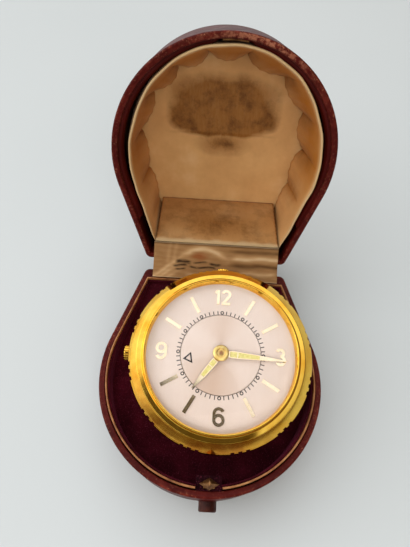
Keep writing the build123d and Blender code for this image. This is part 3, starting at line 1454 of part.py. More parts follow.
with BuildPart() as alarm_hammer:
    arbor(HAMMER)
    to_barrel = heading(HAMMER, ALARM_BARREL)
    pallet_length = hypot(ALARM_BARREL[0] - HAMMER[0], ALARM_BARREL[1] - HAMMER[1]) - ALARM_BARREL_RADIUS
    pallet_end = polar(HAMMER, pallet_length - HAMMER_PALLET_GAP, to_barrel)
    bar(HAMMER, pallet_end, HAMMER_ARM, HAMMER_LOW, HAMMER_HIGH)
    bar(HAMMER, HAMMER_HEAD, HAMMER_ARM, HAMMER_LOW, HAMMER_HIGH)
    post(HAMMER, HAMMER_BOSS, HAMMER_LOW, HAMMER_HIGH)
    post(HAMMER_HEAD, HAMMER_HEAD_RADIUS, HAMMER_LOW, HAMMER_HIGH)

# Each piece is written under its own name

PIECES = {
    "base_leather": base_leather,
    "base_carcass": base_carcass,
    "base_lip": base_lip,
    "seat_block": seat_block,
    "velvet_seat": velvet_seat,
    "velvet_wall": velvet_wall,
    "catch_block": catch_block,
    "catch_button": catch_button,
    "catch_hook": catch_hook,
    "catch_spring": catch_spring,
    "lid_leather": lid_leather,
    "lid_carcass": lid_carcass,
    "lid_back_pad": lid_back_pad,
    "lid_side_puff": lid_side_puff,
    "lid_hinge_panel": lid_hinge_panel,
    "lid_keeper": lid_keeper,
    "hinge_leaf_base": hinge_leaf_base,
    "hinge_leaf_lid": hinge_leaf_lid,
    "hinge_pin": hinge_pin,
    "hinge_ribbon": hinge_ribbon,
    "case_back": case_back,
    "clock_case": clock_case,
    "grip_ring": grip_ring,
    "bezel": bezel,
    "crystal": crystal,
    "rehaut_ring": rehaut_ring,
    "crown_tubes": crown_tubes,
    "winding_crown": winding_crown,
    "winding_stem": winding_stem,
    "alarm_crown": alarm_crown,
    "alarm_stem": alarm_stem,
    "dial": dial,
    "hour_batons": hour_batons,
    "hour_numerals": hour_numerals,
    "alarm_disc": alarm_disc,
    "alarm_pointer": alarm_pointer,
    "hour_hand": hour_hand,
    "minute_hand": minute_hand,
    "hand_cap": hand_cap,
    "cannon_pinion": cannon_pinion,
    "minute_wheel": minute_wheel,
    "hour_wheel": hour_wheel,
    "alarm_wheel": alarm_wheel,
    "main_plate": main_plate,
    "train_bridge": train_bridge,
    "balance_cock": balance_cock,
    "movement_screws": movement_screws,
    "barrel": barrel,
    "barrel_arbor": barrel_arbor,
    "ratchet_click": ratchet_click,
    "mainspring": mainspring,
    "centre_wheel": centre_wheel,
    "third_wheel": third_wheel,
    "fourth_wheel": fourth_wheel,
    "escape_wheel": escape_wheel,
    "pallet_fork": pallet_fork,
    "balance_wheel": balance_wheel,
    "hairspring": hairspring,
    "alarm_barrel": alarm_barrel,
    "alarm_hammer": alarm_hammer,
}

os.makedirs("parts", exist_ok=True)
for name, piece in PIECES.items():
    piece.part.label = name
    export_step(piece.part, f"parts/{name}.step")
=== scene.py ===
import json
import math

import bmesh
import bpy
import numpy as np
from mathutils import Matrix


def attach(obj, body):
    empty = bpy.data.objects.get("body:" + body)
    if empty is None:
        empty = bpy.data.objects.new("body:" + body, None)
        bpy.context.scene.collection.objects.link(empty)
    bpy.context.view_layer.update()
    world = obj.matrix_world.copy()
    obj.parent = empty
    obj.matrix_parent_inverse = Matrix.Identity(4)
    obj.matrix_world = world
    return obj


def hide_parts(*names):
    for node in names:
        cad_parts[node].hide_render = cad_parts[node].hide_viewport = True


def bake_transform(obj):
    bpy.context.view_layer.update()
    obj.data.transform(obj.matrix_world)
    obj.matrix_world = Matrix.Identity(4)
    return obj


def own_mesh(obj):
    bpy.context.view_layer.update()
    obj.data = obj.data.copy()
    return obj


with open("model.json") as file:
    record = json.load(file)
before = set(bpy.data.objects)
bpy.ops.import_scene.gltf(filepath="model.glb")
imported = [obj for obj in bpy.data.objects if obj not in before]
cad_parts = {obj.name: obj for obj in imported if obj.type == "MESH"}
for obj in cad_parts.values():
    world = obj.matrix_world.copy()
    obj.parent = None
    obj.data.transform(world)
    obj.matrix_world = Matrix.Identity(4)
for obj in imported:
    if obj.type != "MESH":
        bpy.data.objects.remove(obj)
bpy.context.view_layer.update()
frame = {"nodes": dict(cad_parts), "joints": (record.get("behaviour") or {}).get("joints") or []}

# Gilt travel alarm clock in an open horseshoe leather case: covers, linings, gilt rings and finishes.
# Lengths are millimetres here and become metres when a mesh is made.

MM = 0.001

# Case plan
CASE_RADIUS = 37.0
CASE_REAR = 39.5
REAR_HALF_WIDTH = 26.4
CORNER_RADIUS = 2.2
LEAST_CORNER = 0.15
LEATHER = 0.7
WALL = 2.0
SIDE_ANGLE = math.atan2(CASE_REAR, REAR_HALF_WIDTH) - math.acos(
    CASE_RADIUS / math.hypot(REAR_HALF_WIDTH, CASE_REAR)
)

# Base
BASE_HEIGHT = 21.7
BASE_EDGE = 1.4
RIM_ROUND = 0.6
RIM_WEAR = 2.2
INNER_ROUND = 0.35
TURN_IN = 2.5
SILL_Y = 35.2
LIP_LOW = 19.0
LIP_TOP = 23.2
LIP_OUTER = 2.35
LIP_INNER = 2.9
TRAY_INSET = 2.92
TRAY_REAR = 34.28
PILE = 0.7
PILE_TOP = 22.3
PILE_FOOT = 0.3
SEAT_DEPTH = 1.5
WELL_RADIUS = 26.3
WELL_ROUND = 0.4
LIP_GAP = (-3.25, 4.85)
PILE_GAP = (-3.02, 4.62)
BUTTON_PLACE = (0.8, 15.6)
BUTTON_SPREAD = 3.6
BUTTON_SWELL = 0.8

# Lid, depths measured from the hinge plane into the lid
RIM_GAP = 0.15
LID_BACK = 29.35
LID_EDGE = 2.2
LID_TURN_IN = 14.0
LEDGE_END = 24.0
LEDGE_WIDTH = 1.5
LEDGE_PROFILE = ((0.0, 1.9), (0.6, 2.1), (1.0, 2.9), (1.0, 5.0), (0.0, 6.0), (0.0, LID_TURN_IN))
CATCH_SPREAD = 6.0
TEAR_SHARE = 0.035
TEAR_SPREAD = 0.05
PAD_FRONT = 25.43
PAD_BACK = 27.0
PAD_INSET = 2.3
STAIN_PLACE = (-0.6, -11.5)
STAIN_REACH = (20.0, 11.2)

# Satin side lining of the lid: its insets at the rim and the back, and its swell, at front, side and hinge
LINING_RIM = (3.7, 5.7, 5.0)
LINING_FOOT = (6.6, 5.6, 6.0)
LINING_SWELL = (4.3, 3.0, 1.4)
LINING_FRONT = 1.0
LINING_BACK = 25.2
LINING_OUTER = 2.75
LINING_THICK = 0.7
LINING_END = 33.0
PUFFS = 12

# Satin panel on the hinge side, and the ribbon over the hinge
PANEL_RIM = (31.6, 0.6)
PANEL_BACK = (25.2, 25.2)
PANEL_HALF_WIDTH = 23.0
RIBBON_HALF_WIDTH = 23.4
RIBBON_LIP = (34.85, 23.75)
RIBBON_LID = (32.1, 0.3)
RIBBON_SAG = 0.9
RIBBON_THICK = 0.3
# Slits in the ribbon: start and end across it, level and half width, as shares
RIBBON_SLITS = (
    (-0.66, -0.38, 0.50, 0.055), (-0.70, -0.44, 0.40, 0.04), (-0.38, -0.12, 0.50, 0.025),
    (-0.12, 0.10, 0.47, 0.04), (-0.66, -0.46, 0.30, 0.03), (-0.44, 0.02, 0.36, 0.03),
)

# Clock, heights along its axis from its back
MINUTE_JOINT_HEIGHT = 15.0
BODY_RADIUS = 26.0
RING_RADIUS = 30.0
RING_TOP_RADIUS = 27.0
RING_LOW = 11.0
RING_BAND_TOP = 13.3
RING_HIGH = 16.4
NOTCH_GROUPS = 12
NOTCHES = 3
NOTCH_STEP = 4.6
NOTCH_TURN = -13.5
NOTCH_WIDTH = 1.05
NOTCH_FLOOR = 29.2
NOTCH_TOP = 14.3
# Side of the grip ring made brown: partly worn gilt, partly painted reflection of the dark front
BROWNED_ANGLE = -106.0
DIAL_TOP = 14.6
PRINT_RISE = 0.02
HOUR_HAND_TOP = 15.2
MINUTE_HAND_TOP = 15.75
HOUR_HAND_ANGLE = -127.5
MINUTE_HAND_ANGLE = -3.9
TRACK_LINE = (13.02, 13.13)
TICK_REACH = (13.15, 14.35)
TICK_HALF_WIDTH = 0.15
CIRCLE_PLACE = 13.75
CIRCLE_RADII = (0.3, 0.62)

# Crystal: its caps as foot radius, foot height and crown height, and the flange between them
CRYSTAL_OUTER = (23.95, 16.65, 19.4)
CRYSTAL_FLANGE = ((24.7, 16.65), (24.7, 15.9))
CRYSTAL_INNER = (23.2, 15.9, 18.3)

# Luminous strips as start, end and their half widths there, sunk in the hands and raised a little
HOUR_LUME = ((2.9, 5.0, 0.72, 0.76), (5.35, 9.2, 0.74, 0.56))
MINUTE_LUME = ((2.9, 5.2, 0.8, 0.86), (5.55, 12.4, 0.86, 0.54))
LUME_SINK = 0.03
LUME_RISE = 0.05

# Turned profiles as radius and height
BEZEL_PROFILE = (
    (24.75, 15.0), (25.95, 15.0), (25.95, 16.5), (26.8, 16.5), (26.8, 17.0), (25.3, 17.0),
    (24.75, 18.0), (24.35, 18.0), (24.0, 17.0), (24.0, 16.7), (24.75, 16.7),
)
REHAUT_PROFILE = ((24.0, 14.6), (24.4, 14.6), (24.4, 15.9), (24.2, 15.9), (24.0, 14.64))
HUB_PROFILE = (
    (0, 16.16), (0.55, 16.16), (0.7, 16.0), (1.25, 15.98), (1.45, 16.4),
    (2.1, 16.48), (2.58, 16.2), (2.6, 15.76), (0, 15.76),
)

# Camera, fitted to the photograph's frame
FRAME_WIDTH = 410
FRAME_HEIGHT = 547
FOCAL = 399.63
CAMERA_DISTANCE = 135.4
CAMERA_YAW = 0.70
CAMERA_PITCH = 58.88
CAMERA_ROLL = -3.99
AIM = (0.0, 0.0, 20.0)
AIM_PIXEL = (210.52, 374.18)
SENSOR = 36.0

# Light
SKY = 1.27
WINDOW_POWER = 0.7
FRONT_POWER = 1.7
LAMP_SIZE = 0.5
TO_WINDOW = (-0.62, 0.42, 0.66)
TO_VIEWER = (-0.08, -0.28, 0.957)

# Frames: the open lid's plan and the tilted clock, read from the joints
JOINTS = {joint["name"]: joint for joint in frame["joints"]}
LID_OPEN = math.radians(JOINTS["lid_hinge"]["range_deg"][1])
HINGE = np.array(JOINTS["lid_hinge"]["pos_m"]) / MM
LID_ALONG = np.array([0.0, math.cos(LID_OPEN), -math.sin(LID_OPEN)])
LID_DEPTH_AXIS = np.array([0.0, math.sin(LID_OPEN), math.cos(LID_OPEN)])
LID_ORIGIN = HINGE - HINGE[1] * LID_ALONG
CLOCK_AXIS = np.array(JOINTS["minute_turn"]["axis"])
CLOCK_ACROSS = np.array([1.0, 0.0, 0.0])
CLOCK_UP = np.cross(CLOCK_AXIS, CLOCK_ACROSS)
CLOCK_ORIGIN = np.array(JOINTS["minute_turn"]["pos_m"]) / MM - MINUTE_JOINT_HEIGHT * CLOCK_AXIS


def base_place(*steps):
    """Place in the part's own frame: x across, y from the front to the hinge, z up."""
    return np.stack(np.broadcast_arrays(*steps), axis=-1)


def clock_place(*steps):
    """Place on the clock: towards 3 o'clock, towards 12 and up along its axis."""
    return CLOCK_ORIGIN + base_place(*steps) @ np.stack([CLOCK_ACROSS, CLOCK_UP, CLOCK_AXIS])


def lid_place(*steps):
    """Place in the open lid: across, from its front arc to the hinge, and from its rim inwards."""
    return LID_ORIGIN + base_place(*steps) @ np.stack([CLOCK_ACROSS, LID_ALONG, LID_DEPTH_AXIS])


# Shares of each half of the outline given to its arc, side, corner and rear
ARC_END = 0.5
SIDE_END = 0.72
CORNER_END = 0.82


def unit(value):
    """Value held between 0 and 1."""
    return np.clip(value, 0, 1)


def plan(inset, share, rear=None):
    """Horseshoe outline drawn in by inset, as x and y at shares of the way round from the front middle.

    Each half runs along the front arc, r e^(ia) as x + iy, the straight side, a corner arc and the rear
    line; the left half is the right one mirrored. Inset may differ from place to place.
    """
    share = np.asarray(share, float) % 1.0
    right = share <= 0.5
    half = 2 * np.where(right, share, 1 - share)
    radius = CASE_RADIUS - np.asarray(inset, float)
    rear_y = CASE_REAR - inset if rear is None else rear
    corner = np.maximum(CORNER_RADIUS - inset, LEAST_CORNER)
    side = np.exp(1j * SIDE_ANGLE)
    turn = math.pi / 2 - SIDE_ANGLE
    trim = corner * math.tan(turn / 2)
    knee_x = (radius - rear_y * side.imag) / side.real
    side_end = knee_x + 1j * rear_y - 1j * side * trim

    def part(start, end):
        """Share gone of the stretch between two shares of the half."""
        return unit((half - start) / (end - start))

    arc = SIDE_ANGLE * part(0, ARC_END) - math.pi / 2 * (1 - part(0, ARC_END))
    swing = SIDE_ANGLE + turn * part(SIDE_END, CORNER_END)
    place = np.select(
        [half <= ARC_END, half <= SIDE_END, half <= CORNER_END],
        [
            radius * np.exp(1j * arc),
            radius * side + (side_end - radius * side) * part(ARC_END, SIDE_END),
            side_end + corner * (np.exp(1j * swing) - side),
        ],
        (knee_x - trim) * (1 - part(CORNER_END, 1)) + 1j * rear_y,
    )
    return np.where(right, place.real, -place.real), place.imag


def ridge(from_line, wide):
    """Soft ridge along a line: exp(-(d / w)^2)."""
    return np.exp(-((from_line / wide) ** 2))


def ripple(seed, *waves):
    """Uneven swing between about -1 and 1: sines of the given phases added, each less than the last."""
    total = 0.0
    size = 1.0
    for number, wave in enumerate(waves):
        total = total + size * np.sin(wave + seed * (1.7 + number))
        size *= 0.6
    return total / 2.0


def soften(profile, radius, steps=4):
    """Profile with each inner corner B eased: (1-t)^2 A + 2t(1-t) B + t^2 C, A and C a radius from B."""
    profile = np.asarray(profile, float)
    t = np.linspace(0, 1, steps + 1)[:, None]
    eased = [profile[:1]]
    for before, corner, after in zip(profile, profile[1:], profile[2:]):
        legs = (before - corner, after - corner)
        start, end = (corner + leg * min(radius / np.linalg.norm(leg), 0.45) for leg in legs)
        eased.append((1 - t) ** 2 * start + 2 * t * (1 - t) * corner + t**2 * end)
    eased.append(profile[-1:])
    return np.vstack(eased)


FINISHES = {}
# Grids closed round their rows, their columns or both
STRIP = (True, False)
TURNED = (False, True)
RING = (True, True)


def make_piece(name, grids, finish, body, wrap=TURNED, marks=None, crease=40.0):
    """Mesh piece from grids of places (rows, columns, 3), each closed round its rows or columns by wrap.

    Equal places are merged, which closes poles, and the faces are turned outwards. The slot holds the finish.
    """
    places = []
    faces = []
    first = 0
    for grid in [grids] if isinstance(grids, np.ndarray) else grids:
        rows, columns = grid.shape[:2]
        index = first + np.arange(rows * columns).reshape(rows, columns)
        ahead = np.roll(index, -1, axis=0)
        quads = np.stack([index, np.roll(index, -1, axis=1), np.roll(ahead, -1, axis=1), ahead], axis=-1)
        faces.append(quads[:rows - (not wrap[0]), :columns - (not wrap[1])].reshape(-1, 4))
        places.append(grid.reshape(-1, 3))
        first += rows * columns
    mesh = bpy.data.meshes.new(name)
    mesh.from_pydata((np.vstack(places) * MM).tolist(), [], np.vstack(faces).tolist())
    for mark, values in (marks or {}).items():
        layer = mesh.attributes.new(mark, "FLOAT", "POINT")
        layer.data.foreach_set("value", np.ascontiguousarray(values, dtype=np.float32).ravel())
    shell = bmesh.new()
    shell.from_mesh(mesh)
    bmesh.ops.remove_doubles(shell, verts=shell.verts, dist=2e-7)
    bmesh.ops.dissolve_degenerate(shell, edges=shell.edges, dist=1e-8)
    if shell.calc_volume(signed=True) < 0:
        bmesh.ops.reverse_faces(shell, faces=shell.faces)
    shell.to_mesh(mesh)
    shell.free()
    mesh.polygons.foreach_set("use_smooth", np.ones(len(mesh.polygons), dtype=bool))
    mesh.set_sharp_from_angle(angle=math.radians(crease))
    piece = bpy.data.objects.new(name, mesh)
    bpy.context.scene.collection.objects.link(piece)
    mesh.materials.append(FINISHES[finish])
    if body:
        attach(piece, body)
    return piece


def capped(grid):
    """Grid with a point added at the mean of its first and of its last column, which closes both ends."""
    start, end = (np.broadcast_to(grid[:, i].mean(axis=0), grid[:, :1].shape) for i in (0, -1))
    return np.concatenate([start, grid, end], axis=1)


# Finishes


def tone(red, green, blue):
    """Colour as written on a screen, 0 to 255, in the shader's linear scale."""
    shade = np.array([red, green, blue]) / 255
    linear = np.where(shade <= 0.04045, shade / 12.92, ((shade + 0.055) / 1.055) ** 2.4)
    return (*linear.tolist(), 1.0)


class Nodes:
    """Shader nodes of one tree, with short calls for the kinds that are used again and again."""

    def __init__(self, tree, place):
        self.tree = tree
        self.place = self.add("TexCoord", {})[place]

    def fill(self, socket, value):
        """Links an output to a socket, or sets the socket to a plain value."""
        if isinstance(value, bpy.types.NodeSocket):
            self.tree.links.new(value, socket)
        else:
            socket.default_value = value

    def add(self, kind, inputs, **settings):
        """New node with its settings made and its sockets filled, as its outputs."""
        node = self.tree.nodes.new("ShaderNode" + kind)
        for setting, value in settings.items():
            setattr(node, setting, value)
        for socket, value in inputs.items():
            self.fill(node.inputs[socket], value)
        return node.outputs

    def stretched(self, *scale):
        """Coordinates scaled by axis, for a grain that runs one way."""
        return self.add("Mapping", {"Scale": scale, "Vector": self.place})["Vector"]

    def noise(self, scale, detail=4.0, rough=0.55, twist=0.0, vector=None):
        """Cloudy grain about 0.5."""
        numbers = {"Scale": scale, "Detail": detail, "Roughness": rough, "Distortion": twist}
        return self.add("TexNoise", {**numbers, "Vector": vector or self.place})["Fac"]

    def ramp(self, value, *stops):
        """Ramp through stops of a place and a grey or a linear colour."""
        node = self.tree.nodes.new("ShaderNodeValToRGB")
        band = node.color_ramp
        while len(band.elements) < len(stops):
            band.elements.new(0.5)
        for element, (place, colour) in zip(band.elements, stops):
            element.position = place
            element.color = colour if isinstance(colour, tuple) else (colour, colour, colour, 1)
        self.fill(node.inputs["Fac"], value)
        return node.outputs["Color"]

    def tones(self, value, *stops):
        """Ramp through stops of a place, red, green and blue as on a screen."""
        return self.ramp(value, *((place, tone(*shade)) for place, *shade in stops))

    def mix(self, share, first, second, **settings):
        """Blend of two colours by a share."""
        return self.add("Mix", {0: share, 6: first, 7: second}, data_type="RGBA", **settings)[2]

    def times(self, first, second):
        """Product of two values."""
        return self.add("Math", {0: first, 1: second}, operation="MULTIPLY")[0]

    def plus(self, first, second):
        """Sum of two values."""
        return self.add("Math", {0: first, 1: second}, operation="ADD")[0]

    def mark(self, name):
        """Mark laid on the mesh, 0 where the mesh has none."""
        return self.add("Attribute", {}, attribute_name=name)["Fac"]

    def patches(self, mark, grain, *stops):
        """Share of a mark that a ramped grain lets through."""
        return self.times(self.mark(mark), self.ramp(grain, *stops))


class Finish(Nodes):
    """Material kept by name, with one Principled shader whose plain numbers are given by socket."""

    def __init__(self, name, **numbers):
        FINISHES[name] = bpy.data.materials.new(name)
        FINISHES[name].use_nodes = True
        super().__init__(FINISHES[name].node_tree, "Object")
        self.shader = self.tree.nodes["Principled BSDF"]
        for socket, value in numbers.items():
            self.to(socket.replace("_", " "), value)

    def to(self, socket, value):
        """Fills a socket of the shader."""
        self.fill(self.shader.inputs[socket], value)

    def paint(self, ground, *layers):
        """Ground with tones laid over it in turn, each as its share, red, green and blue."""
        for share, *shade in layers:
            ground = self.mix(share, ground, tone(*shade))
        self.to("Base Color", ground)

    def gloss(self, grain, low, high, end=0.7):
        """Roughness from low to high as a grain rises."""
        self.to("Roughness", self.ramp(grain, (0.3, low), (end, high)))

    def bump(self, height, strength, depth):
        """Fine relief from a height, its depth in millimetres."""
        sockets = {"Strength": strength, "Distance": depth * MM, "Height": height}
        self.to("Normal", self.add("Bump", sockets)["Normal"])


def grained(name, grain, tones, gloss=None, bump=None, fine=None, along=None, marked=(), **numbers):
    """Finish of one grain, which sets its tone, its gloss and, unless a finer noise is named, its bump.

    Marked places take a tone of their own, given as the mark, red, green and blue.
    """
    made = Finish(name, **numbers)
    cloud = made.noise(*grain, vector=along and made.stretched(*along))
    layers = [(made.mark(mark), *shade) for mark, *shade in marked]
    made.paint(made.tones(cloud, *tones), *layers)
    if gloss:
        made.gloss(cloud, *gloss)
    if bump:
        made.bump(made.noise(*fine) if fine else cloud, *bump)


def oxblood_leather():
    """Glazed oxblood leather: fine pebble grain, redder where handled, worn to tan on its edges, near black
    where painted shade is marked.
    """
    made = Finish("oxblood_leather", IOR=1.45, Specular_IOR_Level=0.15)
    made.paint(
        made.tones(made.noise(90, 5), (0.3, 65, 11, 9), (0.55, 82, 17, 13), (0.75, 97, 26, 19)),
        (made.patches("wear", made.noise(420, 6, 0.65), (0.46, 0.0), (0.66, 0.8)), 132, 52, 38),
        (made.patches("wear", made.noise(1300, 5, 0.7), (0.58, 0.0), (0.66, 0.85)), 186, 124, 92),
        (made.patches("torn", made.noise(650, 6, 0.7), (0.42, 0.0), (0.56, 1.0)), 178, 112, 84),
        # Painted shade: near black deep in the lid's turn-in and in the crack along the torn rim
        (made.mark("shade"), 40, 10, 9),
    )
    made.gloss(made.noise(300, 4), 0.36, 0.52)
    cells = made.add("TexVoronoi", {"Scale": 1500, "Vector": made.place})["Distance"]
    made.bump(made.plus(made.times(cells, 0.7), made.noise(700, 5)), 0.35, 0.12)


def pile_velvet(name, depth):
    """Wine velvet: a deep ground with a purple bloom where the pile leans to the light, darker for a smaller
    depth; the catch block's darker copy is painted shade.
    """
    made = Finish(
        name, Roughness=0.9, Sheen_Weight=0.3, Sheen_Roughness=0.4, Specular_IOR_Level=0.1,
        Sheen_Tint=tone(170, 70, 100),
    )
    low = (0.3, 44 * depth, 3, 12 * depth)
    middle = (0.55, 64 * depth, 8 * depth, 21 * depth)
    high = (0.8, 90 * depth, 18 * depth, 36 * depth)
    fleck = made.ramp(made.noise(2600, 3, 0.6), (0.56, 0.0), (0.72, 0.7))
    made.paint(made.tones(made.noise(140, 5, 0.6), low, middle, high), (fleck, 116, 46, 64))
    made.bump(made.noise(3200, 3), 0.6, 0.2)


def lining_satin():
    """Aged satin: golden beige, cream on its rolled edges, golden brown in its gathers with painted shade in
    their valleys and tucks, browned in its stains.
    """
    made = Finish("satin", Sheen_Weight=0.06, Sheen_Roughness=0.35, Specular_IOR_Level=0.25)
    cloud = made.noise(70, 5, 0.6)
    warp = made.noise(420, 6, 0.7, vector=made.stretched(3.2, 0.7, 0.7))
    made.paint(
        made.tones(cloud, (0.3, 212, 162, 105), (0.55, 227, 180, 120), (0.75, 238, 197, 142)),
        # Golden brown: the gathers' tone, and painted shade in their valleys and where they tuck under the
        # back panel
        (made.patches("crease", made.noise(160, 4), (0.25, 0.82), (0.7, 1.0)), 184, 112, 26),
        # Brown stains, and on the side lining painted shade in the gathers' valleys
        (made.patches("stain", warp, (0.3, 0.88), (0.6, 1.0)), 143, 90, 33),
        (made.patches("stain", made.noise(150, 6, 0.7), (0.45, 0.0), (0.68, 0.9)), 90, 54, 24),
        (made.mark("edge"), 214, 186, 142),
    )
    made.gloss(cloud, 0.5, 0.64)
    weave = made.noise(900, 3, 0.6, vector=made.stretched(1, 6, 6))
    made.bump(made.plus(weave, made.noise(330, 4)), 0.25, 0.15)


def frayed_ribbon():
    """Grey beige silk ribbon: painted highlight on its raised creases and painted shade in its hollows, brown
    where its face is worn off, near black in the slits as painted shade.
    """
    made = Finish("ribbon", Sheen_Weight=0.06, Sheen_Roughness=0.35, Specular_IOR_Level=0.12)
    thread = made.noise(900, 5, 0.65, vector=made.stretched(0.35, 3.0, 3.0))
    # Painted light and shade: the fold mark pales the raised creases and darkens the hollows
    shade = made.plus(made.times(made.mark("fold"), 0.8), made.times(thread, 0.14))
    hollow = ((0.18, 92, 62, 34), (0.42, 154, 114, 72))
    raised = ((0.62, 190, 150, 104), (0.85, 226, 198, 156))
    made.paint(
        made.tones(shade, *hollow, *raised),
        (made.patches("bare", thread, (0.3, 0.5), (0.55, 1.0)), 146, 84, 44),
        # Painted shade: near black where the slits open onto the dark gap beneath
        (made.patches("slit", thread, (0.3, 0.0), (0.5, 0.9)), 40, 26, 16),
        (made.mark("edge"), 214, 188, 150),
    )
    made.gloss(thread, 0.45, 0.65)
    made.bump(thread, 0.35, 0.15)


def polished_gilt(name, deep, light, rough):
    """Polished gilt: rich yellow, a little uneven, with fine handling marks, brown where it is marked: worn
    gilt with painted reflection.
    """
    made = Finish(name, Metallic=1.0)
    made.paint(
        made.tones(made.noise(130, 5, 0.6), (0.32, *deep), (0.6, *light)),
        (made.patches("browned", made.noise(210, 4), (0.35, 0.4), (0.6, 1.0)), 186, 106, 34),
    )
    made.gloss(made.noise(380, 5), *rough, end=0.72)
    made.bump(made.noise(900, 5), 0.05, 0.04)


def silvered(name, painted_sheen):
    """Silvered dial with a warm cast and a faint upright grain; painted sheen darkens sectors round the
    centre, faint on the dial and strong on the alarm disc.
    """
    made = Finish(name, Metallic=0.1, Specular_IOR_Level=0.4)
    streak = made.noise(260, 3, 0.6, vector=made.stretched(14, 0.6, 0.6))
    centre = made.add("Mapping", {"Location": tuple(-CLOCK_ORIGIN * MM), "Vector": made.place})["Vector"]
    turns = made.add("TexGradient", {"Vector": centre}, gradient_type="RADIAL")["Fac"]
    # Painted reflection: the sectors of sheen that brushed metal shows round its centre
    painted_sheen_fan = made.ramp(turns, (0.04, 0.1), (0.22, 1.0), (0.36, 0.15), (0.6, 0.0), (0.74, 0.55), (0.9, 0.0))
    made.paint(
        made.tones(made.noise(60, 3), (0.3, 222, 203, 191), (0.7, 232, 216, 206)),
        (made.ramp(streak, (0.35, 0.0), (0.7, 0.18)), 214, 190, 172),
        (made.times(painted_sheen_fan, painted_sheen), 198, 166, 142),
    )
    made.gloss(streak, 0.36, 0.5)
    made.bump(streak, 0.05, 0.03)


def clear_crystal():
    """Clear domed crystal that lets lamps through, with faint rub marks in its gloss."""
    made = Finish("crystal", Transmission_Weight=1.0, IOR=1.25, Base_Color=(1, 1, 1, 1))
    made.to("Roughness", made.ramp(made.noise(240, 5), (0.5, 0.0), (0.9, 0.05)))
    shadow = made.add("LightPath", {})["Is Shadow Ray"]
    through = made.add("BsdfTransparent", {})[0]
    either = made.add("MixShader", {0: shadow, 1: made.shader.outputs[0], 2: through})[0]
    made.fill(made.tree.nodes["Material Output"].inputs["Surface"], either)


oxblood_leather()
pile_velvet("velvet", 1.0)
# Darker copy of the velvet for the catch block: painted shade
pile_velvet("block_velvet_painted_shade", 0.6)
lining_satin()
frayed_ribbon()
polished_gilt("clock_gilt", (242, 176, 54), (255, 208, 88), (0.06, 0.14))
polished_gilt("marker_gilt", (242, 220, 184), (252, 236, 204), (0.06, 0.12))
silvered("dial_silver", 0.12)
silvered("disc_silver", 0.75)
clear_crystal()

# Tan lip, brass and push button of the case, all rubbed unevenly
grained(
    "tan_lip", (260, 5), ((0.3, 120, 70, 38), (0.5, 168, 112, 66), (0.7, 196, 142, 92)), (0.45, 0.65),
    (0.3, 0.08), (1400, 4), IOR=1.45,
)
grained(
    "case_brass", (500, 5, 0.65), ((0.3, 84, 50, 28), (0.52, 140, 96, 56), (0.72, 190, 142, 92)), (0.5, 0.34),
    (0.15, 0.06), (1500, 4), Metallic=0.85,
)
grained(
    "button_brown", (420, 5, 0.65), ((0.32, 44, 14, 10), (0.58, 72, 28, 18), (0.8, 112, 62, 36)), (0.55, 0.4),
    (0.2, 0.06), (1600, 4), Metallic=0.3, Specular_IOR_Level=0.3,
)
# Ink on the dial, aged luminous paint in the hands, and their hub with its browned hollow
for ink, deep, light in (
    ("dial_ink", (46, 36, 33), (72, 62, 59)),
    ("pointer_ink", (30, 26, 26), (56, 52, 52)),
):
    grained(ink, (1500, 4), ((0.3, *deep), (0.75, *light)), (0.45, 0.6), Specular_IOR_Level=0.3)
grained(
    "hand_lume", (1300, 5, 0.65), ((0.3, 206, 190, 104), (0.7, 236, 224, 150)), (0.6, 0.75),
    (0.3, 0.04), (3000, 3), Specular_IOR_Level=0.3,
)
grained(
    "hand_hub", (600, 4), ((0.3, 236, 196, 104), (0.7, 252, 228, 152)), (0.28, 0.4),
    marked=[("core", 150, 96, 64)], Metallic=1.0,
)
# Brushed metals of the movement
for metal, deep, light, gloss in (
    ("movement_brass", (184, 140, 66), (226, 186, 104), (0.26, 0.4)),
    ("steel", (140, 143, 150), (196, 198, 202), (0.24, 0.38)),
):
    tones = ((0.3, *deep), (0.7, *light))
    grained(metal, (500, 4, 0.6), tones, gloss, (0.08, 0.04), along=(1, 9, 1), Metallic=1.0)
# Plain wood with its grain along the case, and the pale table top
grained(
    "case_wood", (160, 6, 0.6, 0.4), ((0.3, 112, 78, 48), (0.7, 164, 124, 82)), (0.6, 0.75),
    (0.2, 0.1), along=(6, 0.8, 6), Specular_IOR_Level=0.3,
)
grained(
    "floor_pale", (3, 2), ((0.3, 212, 219, 221), (0.7, 220, 226, 228)), Roughness=0.5, Specular_IOR_Level=0.3
)

# Leather covers

ROUND = 480
SHARES = np.arange(ROUND) / ROUND
CENTRE = np.zeros(ROUND)
RIM_SHARES = (0.15, 0.35, 0.6, 0.85)


def loop(inset, height, rear=None):
    """Row once round the case: the outline drawn in by inset, at a height."""
    return (*plan(inset, SHARES, rear), height)


def rows_of(place, rows):
    """Grid from rows given as (x, y, height), each carried into the part's frame by place."""
    return np.stack([place(*row) for row in rows])


def quarter(radius, steps):
    """Quarter round as pairs: r(1 - sin a) still to go out and r(1 - cos a) gone down."""
    turn = np.linspace(0, math.pi / 2, steps)
    return list(zip(radius * (1 - np.sin(turn)), radius * (1 - np.cos(turn))))


def outer_walls(edge, high, dip):
    """Rows of a cover's outside, as (inset, height): a rounded far edge, an uneven wall and a rounded rim.

    The wall draws in by dip sin(pi z / h) times one plus an uneven swing.
    """
    rows = quarter(edge, 8)
    for height in np.linspace(edge, high - RIM_ROUND, 14)[1:-1]:
        lean = math.sin(math.pi * height / high)
        rows.append((dip * lean * (1.0 + ripple(1.3, 40 * SHARES, 11 * height + 70 * SHARES)), height))
    return rows + [(down, high - out) for out, down in quarter(RIM_ROUND, 7)]


def edge_wear(rows, high, edge):
    """Wear for each outside row: 1 on the rim, 0.75 on the far edge, falling evenly away from both."""
    heights = np.array([height for _, height in rows])
    rim = unit(1 - (high - heights) / RIM_WEAR)
    foot = 0.75 * unit(1 - heights / (1.6 * edge))
    return np.maximum(rim, foot)[:, None]


